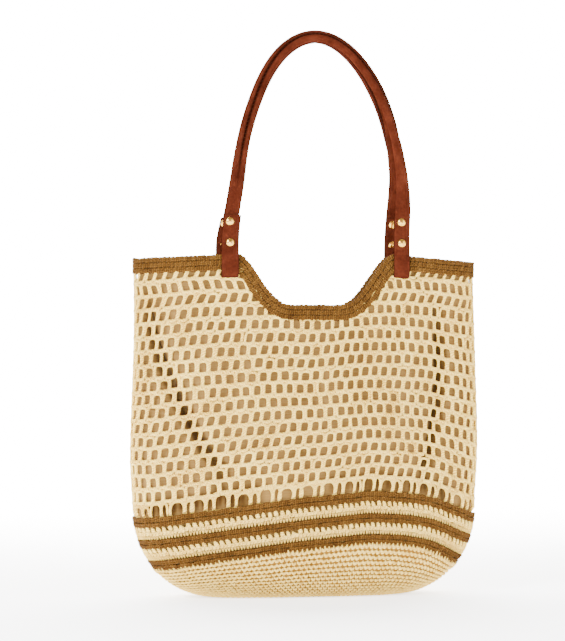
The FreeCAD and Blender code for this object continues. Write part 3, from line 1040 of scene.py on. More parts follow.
@dataclass
class WallCrochet:
    """The closed rounds of the lower wall and the base."""

    form: BagForm
    cream: bpy.types.Material
    brown: bpy.types.Material
    crowns: tuple[float, ...] = (0.0585, 0.0685, 0.0810, 0.0905, 0.1035, 0.1140, 0.1285)
    seed: np.random.Generator = field(default_factory=lambda: np.random.default_rng(21))

    def cord_stitch(self) -> Yarnwork:
        """Returns one slanted turn of a thick brown cord round.

        Returns:
            The stitch as flat work.
        """
        return stitch(
            Bead(0.0, 1.4, -1.0, 6.6, 2.7, 3.4, 72.0),
            Bead(0.0, 3.5, -0.8, 6.6, 2.7, 3.4, 80.0),
            # Painted shade: the core bead behind the turns is given a darker tone.
            Bead(0.0, 2.45, -2.2, 6.4, 5.4, 2.8, 90.0, tone_and_painted_shading=-0.35),
        )

    def stripe(self, node: str, lower: float, upper: float) -> bpy.types.Object:
        """Returns a brown stripe of two cord rounds.

        Args:
            node: The CAD node it stands for.
            lower: Its lower joint's crown.
            upper: Its upper joint's crown.

        Returns:
            The finished piece.
        """
        band = Band(self.form, lower, upper, 2.0)
        height = (upper - lower) / 2.0
        row = Row(4.4, 5.0, jitter=0.18)
        works = []
        for index in range(2):
            flat = lay_row(self.cord_stitch(), row, self.form.around, self.seed)
            flat.points[:, 1] *= height / (5.0 * MM)
            works.append(band.wrap(flat, height, index))
        return self._finish(works, f"{node}_yarn", self.brown, node, "brown_yarn")

    def cream_band(self, node: str, lower: float, upper: float) -> bpy.types.Object:
        """Returns a cream band: V teeth, a chain, and slanted stitches with open gaps.

        Args:
            node: The CAD node it stands for.
            lower: Its lower joint's crown.
            upper: Its upper joint's crown.

        Returns:
            The finished piece.
        """
        band = Band(self.form, lower, upper, 1.0)
        height = upper - lower
        teeth = stitch(
            Bead(-0.5, 2.3, -1.2, 5.6, 1.25, 2.6, -14.0),
            Bead(0.65, 2.3, -1.4, 5.4, 1.2, 2.6, 12.0),
        )
        chain = stitch(
            Bead(0.0, 5.3, -1.0, 5.2, 2.2, 2.8, 74.0),
            Bead(0.0, 6.9, -1.0, 5.2, 2.2, 2.8, 100.0),
            Bead(0.0, 6.2, -2.2, 5.0, 3.2, 2.4, 90.0),
        )
        slanted = stitch(
            Bead(0.2, 10.4, -1.3, 7.6, 3.5, 3.0, -34.0),
            Bead(-1.1, 9.2, -1.1, 5.2, 2.3, 2.6, -16.0),
            Bead(0.4, 8.3, -1.1, 5.0, 2.2, 2.4, -70.0),
        )
        rows = (
            (teeth, Row(3.3, 12.5, jitter=0.12)),
            (chain, Row(4.0, 12.5, jitter=0.1)),
            (slanted, Row(6.3, 12.5, jitter=0.2)),
        )
        works = []
        for work, row in rows:
            flat = lay_row(work, row, self.form.around, self.seed)
            flat.points[:, 1] *= height / (row.height * MM)
            works.append(band.wrap(flat, height, 0.0))
        return self._finish(works, f"{node}_yarn", self.cream, node, "cream_yarn")

    def arch_round(self, node: str, lower: float, upper: float) -> bpy.types.Object:
        """Returns the round of tall open arches between paired posts.

        Args:
            node: The CAD node it stands for.
            lower: Its lower joint's crown.
            upper: Its upper joint's crown.

        Returns:
            The finished piece.
        """
        band = Band(self.form, lower, upper, 1.0)
        height = upper - lower
        arch = stitch(
            Loop(-3.9, 6.0, -1.7, 10.6, 14.0, 3.0, 3.2, 2.3, 2.1, 4.0, 0.04, 22),
            Loop(7.2, 5.5, -1.7, 4.4, 12.6, 3.0, 3.2, 2.6, 2.4, 4.0, 0.02),
            # Painted shade: the posts' back beads are given a darker tone.
            Bead(-9.9, 10.0, -2.2, 11.0, 3.0, 2.2, 3.0, tone_and_painted_shading=-0.1),
            Bead(3.3, 10.0, -2.2, 11.0, 3.0, 2.2, -3.0, tone_and_painted_shading=-0.1),
            Bead(0.0, 14.6, -2.0, 23.5, 4.6, 2.8, 90.0, 6, 8),
            Bead(2.9, 12.6, -1.8, 4.0, 4.0, 2.6, 0.0),
            Bead(-9.9, 12.6, -1.8, 4.0, 4.0, 2.6, 0.0),
        )
        count = 2.0 * round(self.form.around / (22.2 * MM) / 2.0)
        row = Row(self.form.around / count / MM, 14.5, jitter=0.35)
        flat = lay_row(arch, row, self.form.around, self.seed)
        foot = 1.0 - smooth_step((flat.points[:, 1] - 0.6 * MM) / (1.6 * MM))
        flat.points[:, 2] -= 3.4 * MM * foot
        flat.points[:, 1] *= height / (row.height * MM)
        works = [band.wrap(flat, height, 0.0)]
        return self._finish(works, f"{node}_yarn", self.cream, node, "cream_yarn")

    def lower_wall(self, node: str) -> bpy.types.Object:
        """Returns the dense cream wall from the base's edge to the lowest stripe.

        Args:
            node: The CAD node it stands for.

        Returns:
            The finished stitches.
        """
        swing_top = math.acos(1.0 - self.crowns[0] / self.form.bulge_height)
        rows = 16
        tooth = stitch(
            # Painted light: both beads are given a lighter tone, the one lying further out the
            # more.
            Bead(-1.25, 2.5, -1.0, 5.0, 2.8, 3.0, -40.0, tone_and_painted_shading=0.35),
            Bead(1.35, 2.2, -1.3, 4.5, 2.65, 2.8, 50.0, tone_and_painted_shading=0.2),
        )
        works = []
        for index in range(rows):
            middle = self.form.bulge_height * (1.0 - math.cos(swing_top * (index + 0.5) / rows))
            half_width, half_depth = self.form.half_sizes(np.array([middle]))
            ratio = float((half_width + half_depth)[0])
            ratio /= self.form.belly_half_width + self.form.belly_half_depth
            row = Row(5.3 / ratio, 4.6, 0.5 * (index % 2), 0.16, 0.05)
            flat = lay_row(tooth, row, self.form.around, self.seed)
            flat.points[:, 1] *= 1.0 / (row.height * MM)
            s = self.form.along(flat.points[:, 0])
            crown = self.crowns[0] - self.form.arch_drop(s)
            top = np.arccos(1.0 - crown / self.form.bulge_height)
            swing = np.maximum(top * (index + flat.points[:, 1]) / rows, 0.06)
            z = self.form.bulge_height * (1.0 - np.cos(swing))
            flat.points = self.form.point(s, z, flat.points[:, 2])
            works.append(flat)
        # Painted light: the tips, lying out on the skin, are given a lighter tone.
        point = stitch(Bead(0.0, 2.0, 0.0, 5.2, 1.9, 2.4, -10.0, tone_and_painted_shading=0.1))
        tips = lay_row(point, Row(5.1, 4.0, jitter=0.35, swell=0.12), self.form.around,
                       self.seed)
        tips.points[:, 1] *= 1.1
        band = Band(self.form, self.crowns[0] - 3.0 * MM, self.crowns[0] + 1.4 * MM, 1.0)
        works.append(band.wrap(tips, 4.4 * MM, 0.0))
        self.backing(node)
        return self._finish(works, f"{node}_yarn", self.cream, node, "cream_yarn")

    def backing(self, node: str) -> bpy.types.Object:
        """Returns the tight inner side of the dense wall, just behind its stitches, darkened as
        painted shade for the gaps between them.

        Args:
            node: The CAD node it stands for.

        Returns:
            The finished piece.
        """
        columns, levels = 240, 26
        s = np.arange(columns) / columns * self.form.around
        top = np.arccos(1.0 - (self.crowns[0] + 0.002 - self.form.arch_drop(s))
                        / self.form.bulge_height)
        rise = np.linspace(0.0, 1.0, levels)[:, None]
        z = self.form.bulge_height * (1.0 - np.cos(0.05 + (top[None, :] - 0.05) * rise))
        s_grid = np.broadcast_to(s, z.shape).ravel()
        outer = self.form.point(s_grid, z.ravel(), -2.7 * MM)
        inner = self.form.point(s_grid, z.ravel(), -3.5 * MM)
        size = columns * levels
        index = np.arange(size).reshape(levels, columns)
        after = np.roll(index, -1, axis=1)
        face = np.stack([index[:-1], after[:-1], after[1:], index[1:]], axis=-1).reshape(-1, 4)
        rims = [np.stack([index[0], index[0] + size, after[0] + size, after[0]], axis=-1),
                np.stack([index[-1], after[-1], after[-1] + size, index[-1] + size], axis=-1)]
        faces = np.concatenate([face, face[:, ::-1] + size, *rims])
        corners = faces.reshape(-1)
        points = np.concatenate([outer, inner])
        strand = np.stack([s_grid, z.ravel()], axis=-1)
        strand = np.concatenate([strand, strand])[corners] * 300.0
        # Painted shade: the backing's tone is set far darker so the gaps between stitches read as
        # shadow.
        work = Yarnwork(points, corners, np.full(len(faces), 4), strand,
                        np.full(len(points), -1.3))
        return self._finish([work], f"{node}_backing", self.cream, node, "cream_yarn")

    def base(self, node: str) -> bpy.types.Object:
        """Returns the flat oval bottom of closed rounds.

        Args:
            node: The CAD node it stands for.

        Returns:
            The finished piece.
        """
        tooth = stitch(
            Bead(-1.1, 2.3, -1.4, 5.2, 2.4, 2.6, -24.0),
            Bead(1.1, 2.3, -1.4, 5.2, 2.4, 2.6, 24.0),
        )
        rounds = 6
        depth = self.form.base_half_depth
        spine = self.form.base_half_length - depth
        works = []
        for index in range(rounds):
            radius = depth * (index + 0.5) / rounds
            length = 4.0 * spine + 2.0 * math.pi * radius
            row = Row(5.3, 4.6, jitter=0.12, swell=0.04)
            flat = lay_row(tooth, row, length, self.seed)
            inner = radius + (flat.points[:, 1] - 2.3 * MM)
            places = self._round_the_oval(flat.points[:, 0], length, spine, radius, inner)
            places[:, 2] = np.clip(-flat.points[:, 2] * 0.8, 0.05 * MM, 4.0 * MM)
            flat.points = places
            works.append(flat)
        return self._finish(works, f"{node}_yarn", self.cream, node, "cream_yarn")

    @staticmethod
    def _round_the_oval(along: np.ndarray, length: float, spine: float, radius: float,
                        reach: np.ndarray) -> np.ndarray:
        """Returns places round a stadium of the given spine, at each reach from it.

        Args:
            along: Distance round the stadium.
            length: Its whole way round.
            spine: Its spine's half length.
            radius: The round's own radius.
            reach: Each point's distance from the spine.

        Returns:
            Rows of x, y and a zero height.
        """
        along = along % length
        half_turn = math.pi * radius
        places = np.zeros((len(along), 3))
        first = along < 2.0 * spine
        places[first, 0] = spine - along[first]
        places[first, 1] = -reach[first]
        second = (along >= 2.0 * spine) & (along < 2.0 * spine + half_turn)
        turn = (along[second] - 2.0 * spine) / radius
        places[second, 0] = -spine - reach[second] * np.sin(turn)
        places[second, 1] = -reach[second] * np.cos(turn)
        third = (along >= 2.0 * spine + half_turn) & (along < 4.0 * spine + half_turn)
        places[third, 0] = -spine + along[third] - 2.0 * spine - half_turn
        places[third, 1] = reach[third]
        fourth = along >= 4.0 * spine + half_turn
        turn = (along[fourth] - 4.0 * spine - half_turn) / radius
        places[fourth, 0] = spine + reach[fourth] * np.sin(turn)
        places[fourth, 1] = reach[fourth] * np.cos(turn)
        return places

    @staticmethod
    def _finish(works: list[Yarnwork], name: str, material: bpy.types.Material, node: str,
                slot: str) -> bpy.types.Object:
        """Joins the works into one piece that rides on the bag and replaces its node.

        Args:
            works: The works to join.
            name: The piece's name.
            material: Its material.
            node: The CAD node it stands for.
            slot: Not used.

        Returns:
            The finished piece.
        """
        thing = Yarnwork.joined(works).to_object(name, material)
        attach(thing, "bag")
        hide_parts(node)
        log.info("%s: %d faces", name, len(thing.data.polygons))
        return thing

    def build(self) -> None:
        """Makes every closed round, bottom to top."""
        self.base("oval_base")
        self.lower_wall("lower_wall")
        c = self.crowns
        self.stripe("stripe_lower", c[0], c[1])
        self.cream_band("cream_band_lower", c[1], c[2])
        self.stripe("stripe_middle", c[2], c[3])
        self.cream_band("cream_band_upper", c[3], c[4])
        self.stripe("stripe_upper", c[4], c[5])
        self.arch_round("arch_round", c[5], c[6])


@dataclass
class MeshCrochet:
    """The open mesh of chain rails and slanted posts."""

    form: BagForm
    cream: bpy.types.Material
    lower: float = 0.1285
    upper: float = 0.3535
    rows: int = 17
    cell: float = 11.1
    row_height: float = 12.9
    rim_depth: float = 0.0165
    seed: np.random.Generator = field(default_factory=lambda: np.random.default_rng(33))

    def cell_stitch(self) -> Yarnwork:
        """Returns a stretch of chain rail with its post.

        Returns:
            The stitch as flat work.
        """
        half = self.cell / 4.0
        side = self.cell / 2.0
        return stitch(
            Loop(0.0, 6.9, -1.5, 7.0, 8.7, 2.9, 3.1),
            Bead(side, 7.0, -1.7, 13.0, 2.9, 3.0, 3.0),
            # Painted light and shade: the rail's back bead is given a darker tone, its front
            # chain beads a lighter one.
            Bead(0.0, 0.45, -2.2, 12.4, 3.8, 2.4, 90.0, tone_and_painted_shading=-0.1),
            Bead(-half, 0.6, -0.55, 6.0, 1.7, 2.0, 64.0, tone_and_painted_shading=0.2),
            Bead(half, 0.6, -0.55, 6.0, 1.7, 2.0, 64.0, tone_and_painted_shading=0.2),
        )

    def build(self) -> None:
        """Makes the mesh in three stacked pieces of whole rows."""
        band = MeshBand(self.form, self.lower, self.upper, float(self.rows))
        work = self.cell_stitch()
        groups = (("mesh_low_rows", 0, 6), ("mesh_middle_rows", 6, 12),
                  ("mesh_top_rows", 12, self.rows))
        for name, first, last in groups:
            rows = []
            for index in range(first, last):
                row = Row(self.cell, self.row_height, 0.5 * (index % 2) + 0.07 * index,
                          0.38, 0.05)
                flat = lay_row(work, row, self.form.around, self.seed)
                self._lean_posts(flat, len(work.points), index)
                flat = self._below_rim(flat, band, index, len(work.points))
                if flat is not None:
                    rows.append(flat)
            thing = Yarnwork.joined(rows).to_object(name, self.cream)
            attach(thing, "bag")
            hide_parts("mesh_body")
            log.info("%s: %d faces", name, len(thing.data.polygons))

    def _lean_posts(self, flat: Yarnwork, size: int, index: int) -> None:
        """Leans each cell a little, more in some stretches of a row than in others.

        Args:
            flat: The row's flat work.
            size: The points of one cell.
            index: Which row it is.
        """
        count = len(flat.points) // size
        share = np.arange(count) / count
        lean = 0.05 + 0.10 * np.sin(2.0 * math.pi * (2.0 * share + 0.13 * index))
        lean += {14: 0.28, 15: -0.34, 16: 0.40}.get(index, 0.0)
        lean += self.seed.normal(0.0, 0.05, count)
        points = flat.points.reshape(count, size, 3)
        points[:, :, 0] += lean[:, None] * (points[:, :, 1] - 6.5 * MM)

    def _below_rim(self, flat: Yarnwork, band: MeshBand, index: int,
                   size: int) -> Yarnwork | None:
        """Wraps one row and leaves out the cells that would stand inside the rim.

        Args:
            flat: The row's flat work.
            band: The mesh's band.
            index: Which row it is.
            size: The points of one cell.

        Returns:
            The kept cells in place, or None where the rim hides the row.
        """
        per_copy = len(flat.points) // size
        corners_each = len(flat.corners) // per_copy
        sides_each = len(flat.sides) // per_copy
        s = self.form.along(flat.points[:, 0])
        z = band.height(s, index + flat.points[:, 1] / (self.row_height * MM))
        rim = self.form.edge_height(s) - self.rim_depth
        foot = z.reshape(per_copy, size).min(axis=1)
        rim_here = rim.reshape(per_copy, size).min(axis=1)
        keep = foot < rim_here - 1.0 * MM
        if not keep.any():
            return None
        z = np.minimum(z, rim + 2.2 * MM)
        flat.points = self.form.point(s, z, flat.points[:, 2])
        chosen = np.flatnonzero(keep)
        points = flat.points.reshape(per_copy, size, 3)[chosen].reshape(-1, 3)
        base = flat.corners[:corners_each]
        corners = (base[None] + (np.arange(len(chosen)) * size)[:, None]).reshape(-1)
        sides = np.tile(flat.sides[:sides_each], len(chosen))
        strand = flat.strand.reshape(per_copy, corners_each, 2)[chosen].reshape(-1, 2)
        tone_and_painted_shading = flat.tone_and_painted_shading.reshape(per_copy, size)[chosen].reshape(-1)
        return Yarnwork(points, corners, sides, strand, tone_and_painted_shading)


@dataclass
class RimCrochet:
    """Three brown cord rounds that follow the top edge through its dips."""

    form: BagForm
    brown: bpy.types.Material
    round_height: float = 0.0056
    pitch: float = 4.8
    seed: np.random.Generator = field(default_factory=lambda: np.random.default_rng(45))

    def edge_path(self, inset: float) -> tuple[np.ndarray, np.ndarray, np.ndarray]:
        """Returns the cord's path: s, z and the distance along it.

        Args:
            inset: How far the path lies below the top edge, square to it.

        Returns:
            Arrays of s, z and length, once round.
        """
        s = np.linspace(-0.5, 0.5, 1801) * self.form.around
        z = self.form.edge_height(s)
        slope_s = np.gradient(s)
        slope_z = np.gradient(z)
        span = np.hypot(slope_s, slope_z)
        s_in = s + inset * slope_z / span
        z_in = z - inset * slope_s / span
        steps = np.hypot(np.diff(s_in), np.diff(z_in))
        return s_in, z_in, np.concatenate([[0.0], np.cumsum(steps)])

    def cord(self, node: str, index: int) -> bpy.types.Object:
        """Returns one cord round, counted from the top.

        Args:
            node: The CAD node it stands for.
            index: Which round it is, 0 at the top.

        Returns:
            The finished piece.
        """
        s_path, z_path, along = self.edge_path((index + 0.5) * self.round_height)
        turn = stitch(
            Bead(0.0, 1.15, -0.5, 7.2, 2.9, 3.2, 70.0),
            Bead(0.0, -1.25, -0.6, 7.2, 2.9, 3.2, 78.0),
            Bead(0.0, 0.0, -3.2, 8.2, 4.6, 3.0, -66.0),
            # Painted shade: the core bead behind the turns is given a darker tone.
            Bead(0.0, -0.6, -2.0, 7.6, 7.2, 3.6, 90.0, tone_and_painted_shading=-0.35),
        )
        row = Row(self.pitch, 6.0, 0.33 * index, 0.16, 0.05)
        flat = lay_row(turn, row, float(along[-1]), self.seed)
        place = np.clip(flat.points[:, 0], 0.0, along[-1])
        overrun = flat.points[:, 0] - place
        s = np.interp(place, along, s_path) + overrun
        z = np.interp(place, along, z_path)
        slope_s = np.interp(place, along, np.gradient(s_path, along))
        slope_z = np.interp(place, along, np.gradient(z_path, along))
        s = s - flat.points[:, 1] * slope_z
        z = z + flat.points[:, 1] * slope_s
        flat.points = self.form.point(s, z, flat.points[:, 2] + 0.4 * MM)
        thing = flat.to_object(f"{node}_yarn", self.brown)
        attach(thing, "bag")
        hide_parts(node)
        log.info("%s: %d faces", thing.name, len(thing.data.polygons))
        return thing

    def build(self) -> None:
        """Makes the three cords."""
        for index, node in enumerate(("rim_round_upper", "rim_round_middle",
                                      "rim_round_lower")):
            self.cord(node, index)


# ------------------------------------------------------------------ lining

class Panel(Enum):
    """Which side of the bag a piece belongs to."""

    FRONT = "front"
    REAR = "rear"


@dataclass
class Lining:
    """Two cloth panels hung inside the wall, sewn to each other at the gussets."""

    form: BagForm
    cloth: bpy.types.Material
    inset: float = 0.0052
    columns: int = 260
    rows: int = 110
    floor: float = 0.010

    def panel(self, side: Panel) -> bpy.types.Object:
        """Returns one panel as a thin sheet with soft folds.

        Args:
            side: Which panel.

        Returns:
            The finished sheet.
        """
        shift = 0.0 if side is Panel.FRONT else 0.5
        s = (np.linspace(-0.25, 0.25, self.columns) + shift) * self.form.around
        top = self.form.edge_height(s) - 5.0 * MM
        t = np.linspace(0.0, 1.0, self.rows)[:, None]
        z = self.floor + (top[None, :] - self.floor) * t
        s_grid = np.broadcast_to(s, z.shape)
        lap = 2.0 * math.pi * s_grid / self.form.around
        folds = 1.6 * np.sin(11.0 * lap + 14.0 * z) * (1.0 - 0.6 * t)
        folds += 1.0 * np.sin(19.0 * lap - 23.0 * z + 1.0)
        pinch = smooth_step(np.abs(self.form.share(s_grid)) * -8.0 + 8.0)
        hem = smooth_step((top[None, :] - z) / 0.03)
        inset = self.inset - 1.7 * MM * (1.0 - pinch) * hem
        inset = inset + (1.0 + 0.8 * folds) * MM * pinch * hem
        inset += self.form.pleat(s_grid, z) * hem
        points = self.form.point(s_grid.ravel(), z.ravel(), -inset.ravel())
        name = f"lining_{side.value}_cloth"
        mesh = bpy.data.meshes.new(name)
        index = np.arange(self.rows * self.columns).reshape(self.rows, self.columns)
        quads = np.stack([index[:-1, :-1], index[:-1, 1:], index[1:, 1:], index[1:, :-1]],
                         axis=-1).reshape(-1, 4)
        mesh.from_pydata(points.tolist(), [], quads.tolist())
        # The fold attribute is painted shade on the cloth: dark deep in the pleats and in a band
        # above the stripes.
        shade = mesh.attributes.new("fold", "FLOAT", "POINT")
        shade.data.foreach_set("value", self.form.in_shadow(s_grid, z).ravel()
                               .astype(np.float32))
        layer = mesh.uv_layers.new(name="cloth")
        flat_uv = np.stack([s_grid.ravel(), z.ravel()], axis=-1)
        corners = np.empty(len(mesh.loops), dtype=np.int64)
        mesh.loops.foreach_get("vertex_index", corners)
        layer.data.foreach_set("uv", flat_uv[corners].astype(np.float32).ravel())
        mesh.polygons.foreach_set("use_smooth", np.ones(len(mesh.polygons), dtype=bool))
        mesh.materials.append(self.cloth)
        thing = bpy.data.objects.new(name, mesh)
        bpy.context.scene.collection.objects.link(thing)
        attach(thing, "bag")
        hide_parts(f"lining_{side.value}")
        return thing

    @staticmethod
    def _area(grid: np.ndarray) -> float:
        """Returns the area of a grid of points.

        Args:
            grid: Rows and columns of points.

        Returns:
            The area in square metres.
        """
        across = grid[:-1, 1:] - grid[:-1, :-1]
        along = grid[1:, :-1] - grid[:-1, :-1]
        return float(np.linalg.norm(np.cross(across, along), axis=-1).sum())

    def build(self) -> None:
        """Makes both panels."""
        for side in Panel:
            self.panel(side)


# ------------------------------------------------------------------ handles

@dataclass
class Station:
    """One cross section of a strap: its middle, its directions and its shape."""

    middle: np.ndarray
    across: np.ndarray
    through: np.ndarray
    half_width: float
    half_thickness: float
    squareness: float
    groove: float
    roll: float

    def turned(self) -> tuple[np.ndarray, np.ndarray]:
        """Returns the across and through directions after the section's roll.

        Returns:
            Both directions.
        """
        swing, sway = math.cos(self.roll), math.sin(self.roll)
        return (self.across * swing + self.through * sway,
                self.through * swing - self.across * sway)


@dataclass
class Handle:
    """A leather strap, flat at its riveted ends and folded to a grip between them."""

    panel: Panel
    leather: bpy.types.Material
    thread: bpy.types.Material
    gold: bpy.types.Material
    half_spacing: float = 0.0925
    rise: float = 0.2335
    tab_height: float = 0.038
    ply: float = 0.003
    ply_width: float = 0.0185
    grip_thickness: float = 0.0100
    loop_depth: float = 0.0274
    edge_points: int = 48

    def __post_init__(self) -> None:
        """Takes the hinge line and the plies' places from the frame."""
        joint = next(item for item in frame["record"]["behaviour"]["joints"]
                     if item["child"] == f"{self.panel.value}_handle")
        self.hinge = np.array(joint["pos_m"])
        self.facing = -1.0 if self.panel is Panel.FRONT else 1.0
        low, high = node_box(f"{self.panel.value}_left_loop")
        self.inner_start = float(high[1] - low[1]) - self.ply
        grip_inner = self.ply + 0.005
        top = self.rise + 0.0065
        reach = math.hypot(top, grip_inner)
        self.lean = math.asin((abs(self.hinge[1]) - 0.0005) / reach)
        self.lean -= math.atan2(grip_inner, top)

    def to_world(self, local: np.ndarray) -> np.ndarray:
        """Leans local points on the hinge and turns them to this panel.

        Args:
            local: Rows of x, y inwards and z up from the hinge line.

        Returns:
            Rows in the bag's frame.
        """
        tip = self.lean * smooth_step((local[..., 2] + 0.003) / 0.007)
        x, y, z = local[..., 0], local[..., 1], local[..., 2]
        leaned_y = y * np.cos(tip) + z * np.sin(tip)
        leaned_z = z * np.cos(tip) - y * np.sin(tip)
        world = np.stack([x, -self.facing * leaned_y, leaned_z], axis=-1)
        return world + self.hinge

    def _end_route(self, side: float) -> list[tuple[float, float, float]]:
        """Returns one end's centre line, from its lower outside up round the rim and inside.

        Args:
            side: -1 at the left end, 1 at the right.

        Returns:
            Points of x, y and z in the local frame, from the outer ply's top, down the
            outside, under the rim and up to the inner ply's top.
        """
        outer = self.ply / 2.0
        inner = 1.5 * self.ply
        inside = self.inner_start + self.ply / 2.0
        x = side * self.half_spacing
        bend = (inside - outer) / 2.0
        bottom = -self.loop_depth + bend
        route = [(x, outer, z) for z in np.linspace(self.tab_height, bottom, 34)]
        route += [(x, outer + bend * (1.0 - math.cos(a)), bottom - bend * math.sin(a))
                  for a in np.linspace(0.0, math.pi, 15)[1:-1]]
        route += [(x, inside, z) for z in np.linspace(bottom, -0.001, 14)]
        route += [(x, blend_between(inside, inner, t), -0.001 + 0.009 * t)
                  for t in np.linspace(0.0, 1.0, 12)[1:]]
        route += [(x, inner, z) for z in np.linspace(0.0095, self.tab_height, 18)]
        return route

    def stations(self) -> list[Station]:
        """Returns the whole strap's cross sections, from the left tab to the right one.

        Returns:
            Sections in order along the strap.
        """
        left = np.array(self._end_route(-1.0))
        right = np.array(self._end_route(1.0))
        upright = self.rise - self.tab_height
        turns = np.linspace(math.pi, 0.0, 170)[1:-1]
        share = np.linspace(0.0, 1.0, len(turns))
        arch = np.stack([
            self.half_spacing * np.cos(turns),
            np.zeros(len(turns)),
            self.tab_height + upright * np.sin(turns),
        ], axis=-1)
        start_y, end_y = left[-1, 1], right[0, 1]
        arch[:, 1] = start_y + (self.ply - start_y) * smooth_step(share / 0.06)
        arch[:, 1] += (end_y - self.ply) * smooth_step((share - 0.94) / 0.06)
        route = np.concatenate([left, arch, right])
        rise = route[:, 2]
        sway = 6.0 * smooth_step((rise - 0.004) / 0.085) - 3.2 * smooth_step((rise - 0.15) / 0.09)
        if self.panel is Panel.REAR:
            sway = sway + 3.5 * smooth_step((rise - 0.006) / 0.05) * (route[:, 0] < 0.0)
        route[:, 0] += sway * MM
        route[:, 0] *= 1.0 - 0.018 * smooth_step(rise / 0.08)
        return self._sections(route, len(left), len(arch))

    def _sections(self, route: np.ndarray, start: int, count: int) -> list[Station]:
        """Returns stations along a route; the grip is the stretch from start.

        Args:
            route: The strap's middle line.
            start: The first point of the grip.
            count: The grip's points.

        Returns:
            One station for each point.
        """
        tangent = unit(np.gradient(route, axis=0))
        stations = []
        for index, middle in enumerate(route):
            share = (index - start) / max(count - 1, 1)
            rolled = float(smooth_step(share / 0.05) * smooth_step((1.0 - share) / 0.10))
            along = tangent[index]
            if 0.0 < share < 1.0:
                through = np.array([0.0, 1.0, 0.0])
                across = unit(np.cross(along, through))
            else:
                across = np.array([-1.0 if share <= 0.0 else 1.0, 0.0, 0.0])
                through = unit(np.cross(across, along))
            width = self._width(share, middle[2] if index > start - 20 else 0.0)
            stations.append(Station(
                middle, across, through, width / 2.0,
                (self.ply + (self.grip_thickness - self.ply) * rolled) / 2.0,
                6.0 - 3.2 * rolled,
                rolled * float(smooth_step((share + 0.01) / 0.16)),
                self._roll(share) + (0.0 if self.panel is Panel.FRONT else math.pi),
            ))
        return stations

    def _width(self, share: float, height: float) -> float:
        """Returns the strap's width: broad at its ends, slim over the top of the arch.

        Args:
            share: Place along the grip, 0 to 1.
            height: Height over the hinge line.

        Returns:
            The width in metres.
        """
        if share <= 0.0:
            return blend_between(self.ply_width, 0.0150, (height - 0.016) / 0.020)
        if share >= 1.0:
            return 0.0168
        body = 0.0121 + 0.0034 * abs(2.0 * share - 1.0) ** 1.6
        start = blend_between(0.0150, body, share / 0.1)
        slim = blend_between(start, 0.0100, (share - 0.74) / 0.13)
        return blend_between(slim, 0.0168, (share - 0.88) / 0.13)

    @staticmethod
    def _roll(share: float) -> float:
        """Returns how far the strap is rolled about its own length at a share of the grip.

        Args:
            share: Place along the grip, 0 to 1.

        Returns:
            The roll in radians.
        """
        turn = 30.0 * smooth_step((share - 0.16) / 0.3)
        turn += 26.0 * smooth_step((share - 0.64) / 0.2)
        turn += 120.0 * smooth_step((share - 0.82) / 0.15)
        return math.radians(turn)

    def _ring(self, station: Station) -> tuple[np.ndarray, np.ndarray]:
        """Returns one cross section's local points and how dark each is as an edge.

        Args:
            station: The section.

        Returns:
            Points, and a number from 0 to 1 for each.
        """
        turn = np.linspace(0.0, 2.0 * math.pi, self.edge_points, endpoint=False) - QUARTER
        power = 2.0 / station.squareness
        across, through = np.cos(turn), np.sin(turn)
        u = station.half_width * np.sign(across) * np.abs(across) ** power
        v = station.half_thickness * np.sign(through) * np.abs(through) ** power
        facing_seam = np.exp(-((u / (1.35 * MM)) ** 2)) * (v < 0.0)
        v = v + facing_seam * 3.0 * MM * station.groove
        edge = facing_seam * station.groove
        cut_edge = np.clip((np.abs(u) / station.half_width - 0.93) / 0.07, 0.0, 1.0)
        edge = np.maximum(edge, 0.7 * cut_edge * (1.0 - station.groove))
        wide, deep = station.turned()
        return station.middle + np.outer(u, wide) + np.outer(v, deep), edge

    def strap(self) -> bpy.types.Object:
        """Returns the strap as one piece, leaned on its hinge line where its leather leaves the
        rim.

        Returns:
            The finished piece.
        """
        rings = [self._ring(station) for station in self.stations()]
        points = np.concatenate([self.to_world(ring) for ring, _ in rings])
        edge = np.concatenate([dark for _, dark in rings])
        count, size = len(rings), self.edge_points
        index = np.arange(count * size).reshape(count, size)
        after = np.roll(index, -1, axis=1)
        quads = np.stack([index[:-1], after[:-1], after[1:], index[1:]], axis=-1)
        faces = quads.reshape(-1, 4).tolist()
        faces += [index[0][::-1].tolist(), index[-1].tolist()]
        name = f"{self.panel.value}_leather_strap"
        mesh = bpy.data.meshes.new(name)
        mesh.from_pydata(points.tolist(), [], faces)
        attribute = mesh.attributes.new("edge", "FLOAT", "POINT")
        attribute.data.foreach_set("value", edge.astype(np.float32))
        mesh.materials.append(self.leather)
        thing = bpy.data.objects.new(name, mesh)
        bpy.context.scene.collection.objects.link(thing)
        deselect_all()
        thing.select_set(True)
        bpy.context.view_layer.objects.active = thing
        bpy.ops.object.mode_set(mode="EDIT")
        bpy.ops.mesh.select_all(action="SELECT")
        bpy.ops.mesh.normals_make_consistent(inside=False)
        bpy.ops.object.mode_set(mode="OBJECT")
        bpy.ops.object.shade_smooth_by_angle(angle=math.radians(50.0))
        body = f"{self.panel.value}_handle"
        nodes = [f"{body}_strap"]
        for hand in ("left", "right"):
            nodes += [f"{self.panel.value}_{hand}_tab", f"{self.panel.value}_{hand}_loop"]
        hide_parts(*nodes)
        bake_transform(thing)
        log.info("%s: %d faces", name, len(mesh.polygons))
        return thing

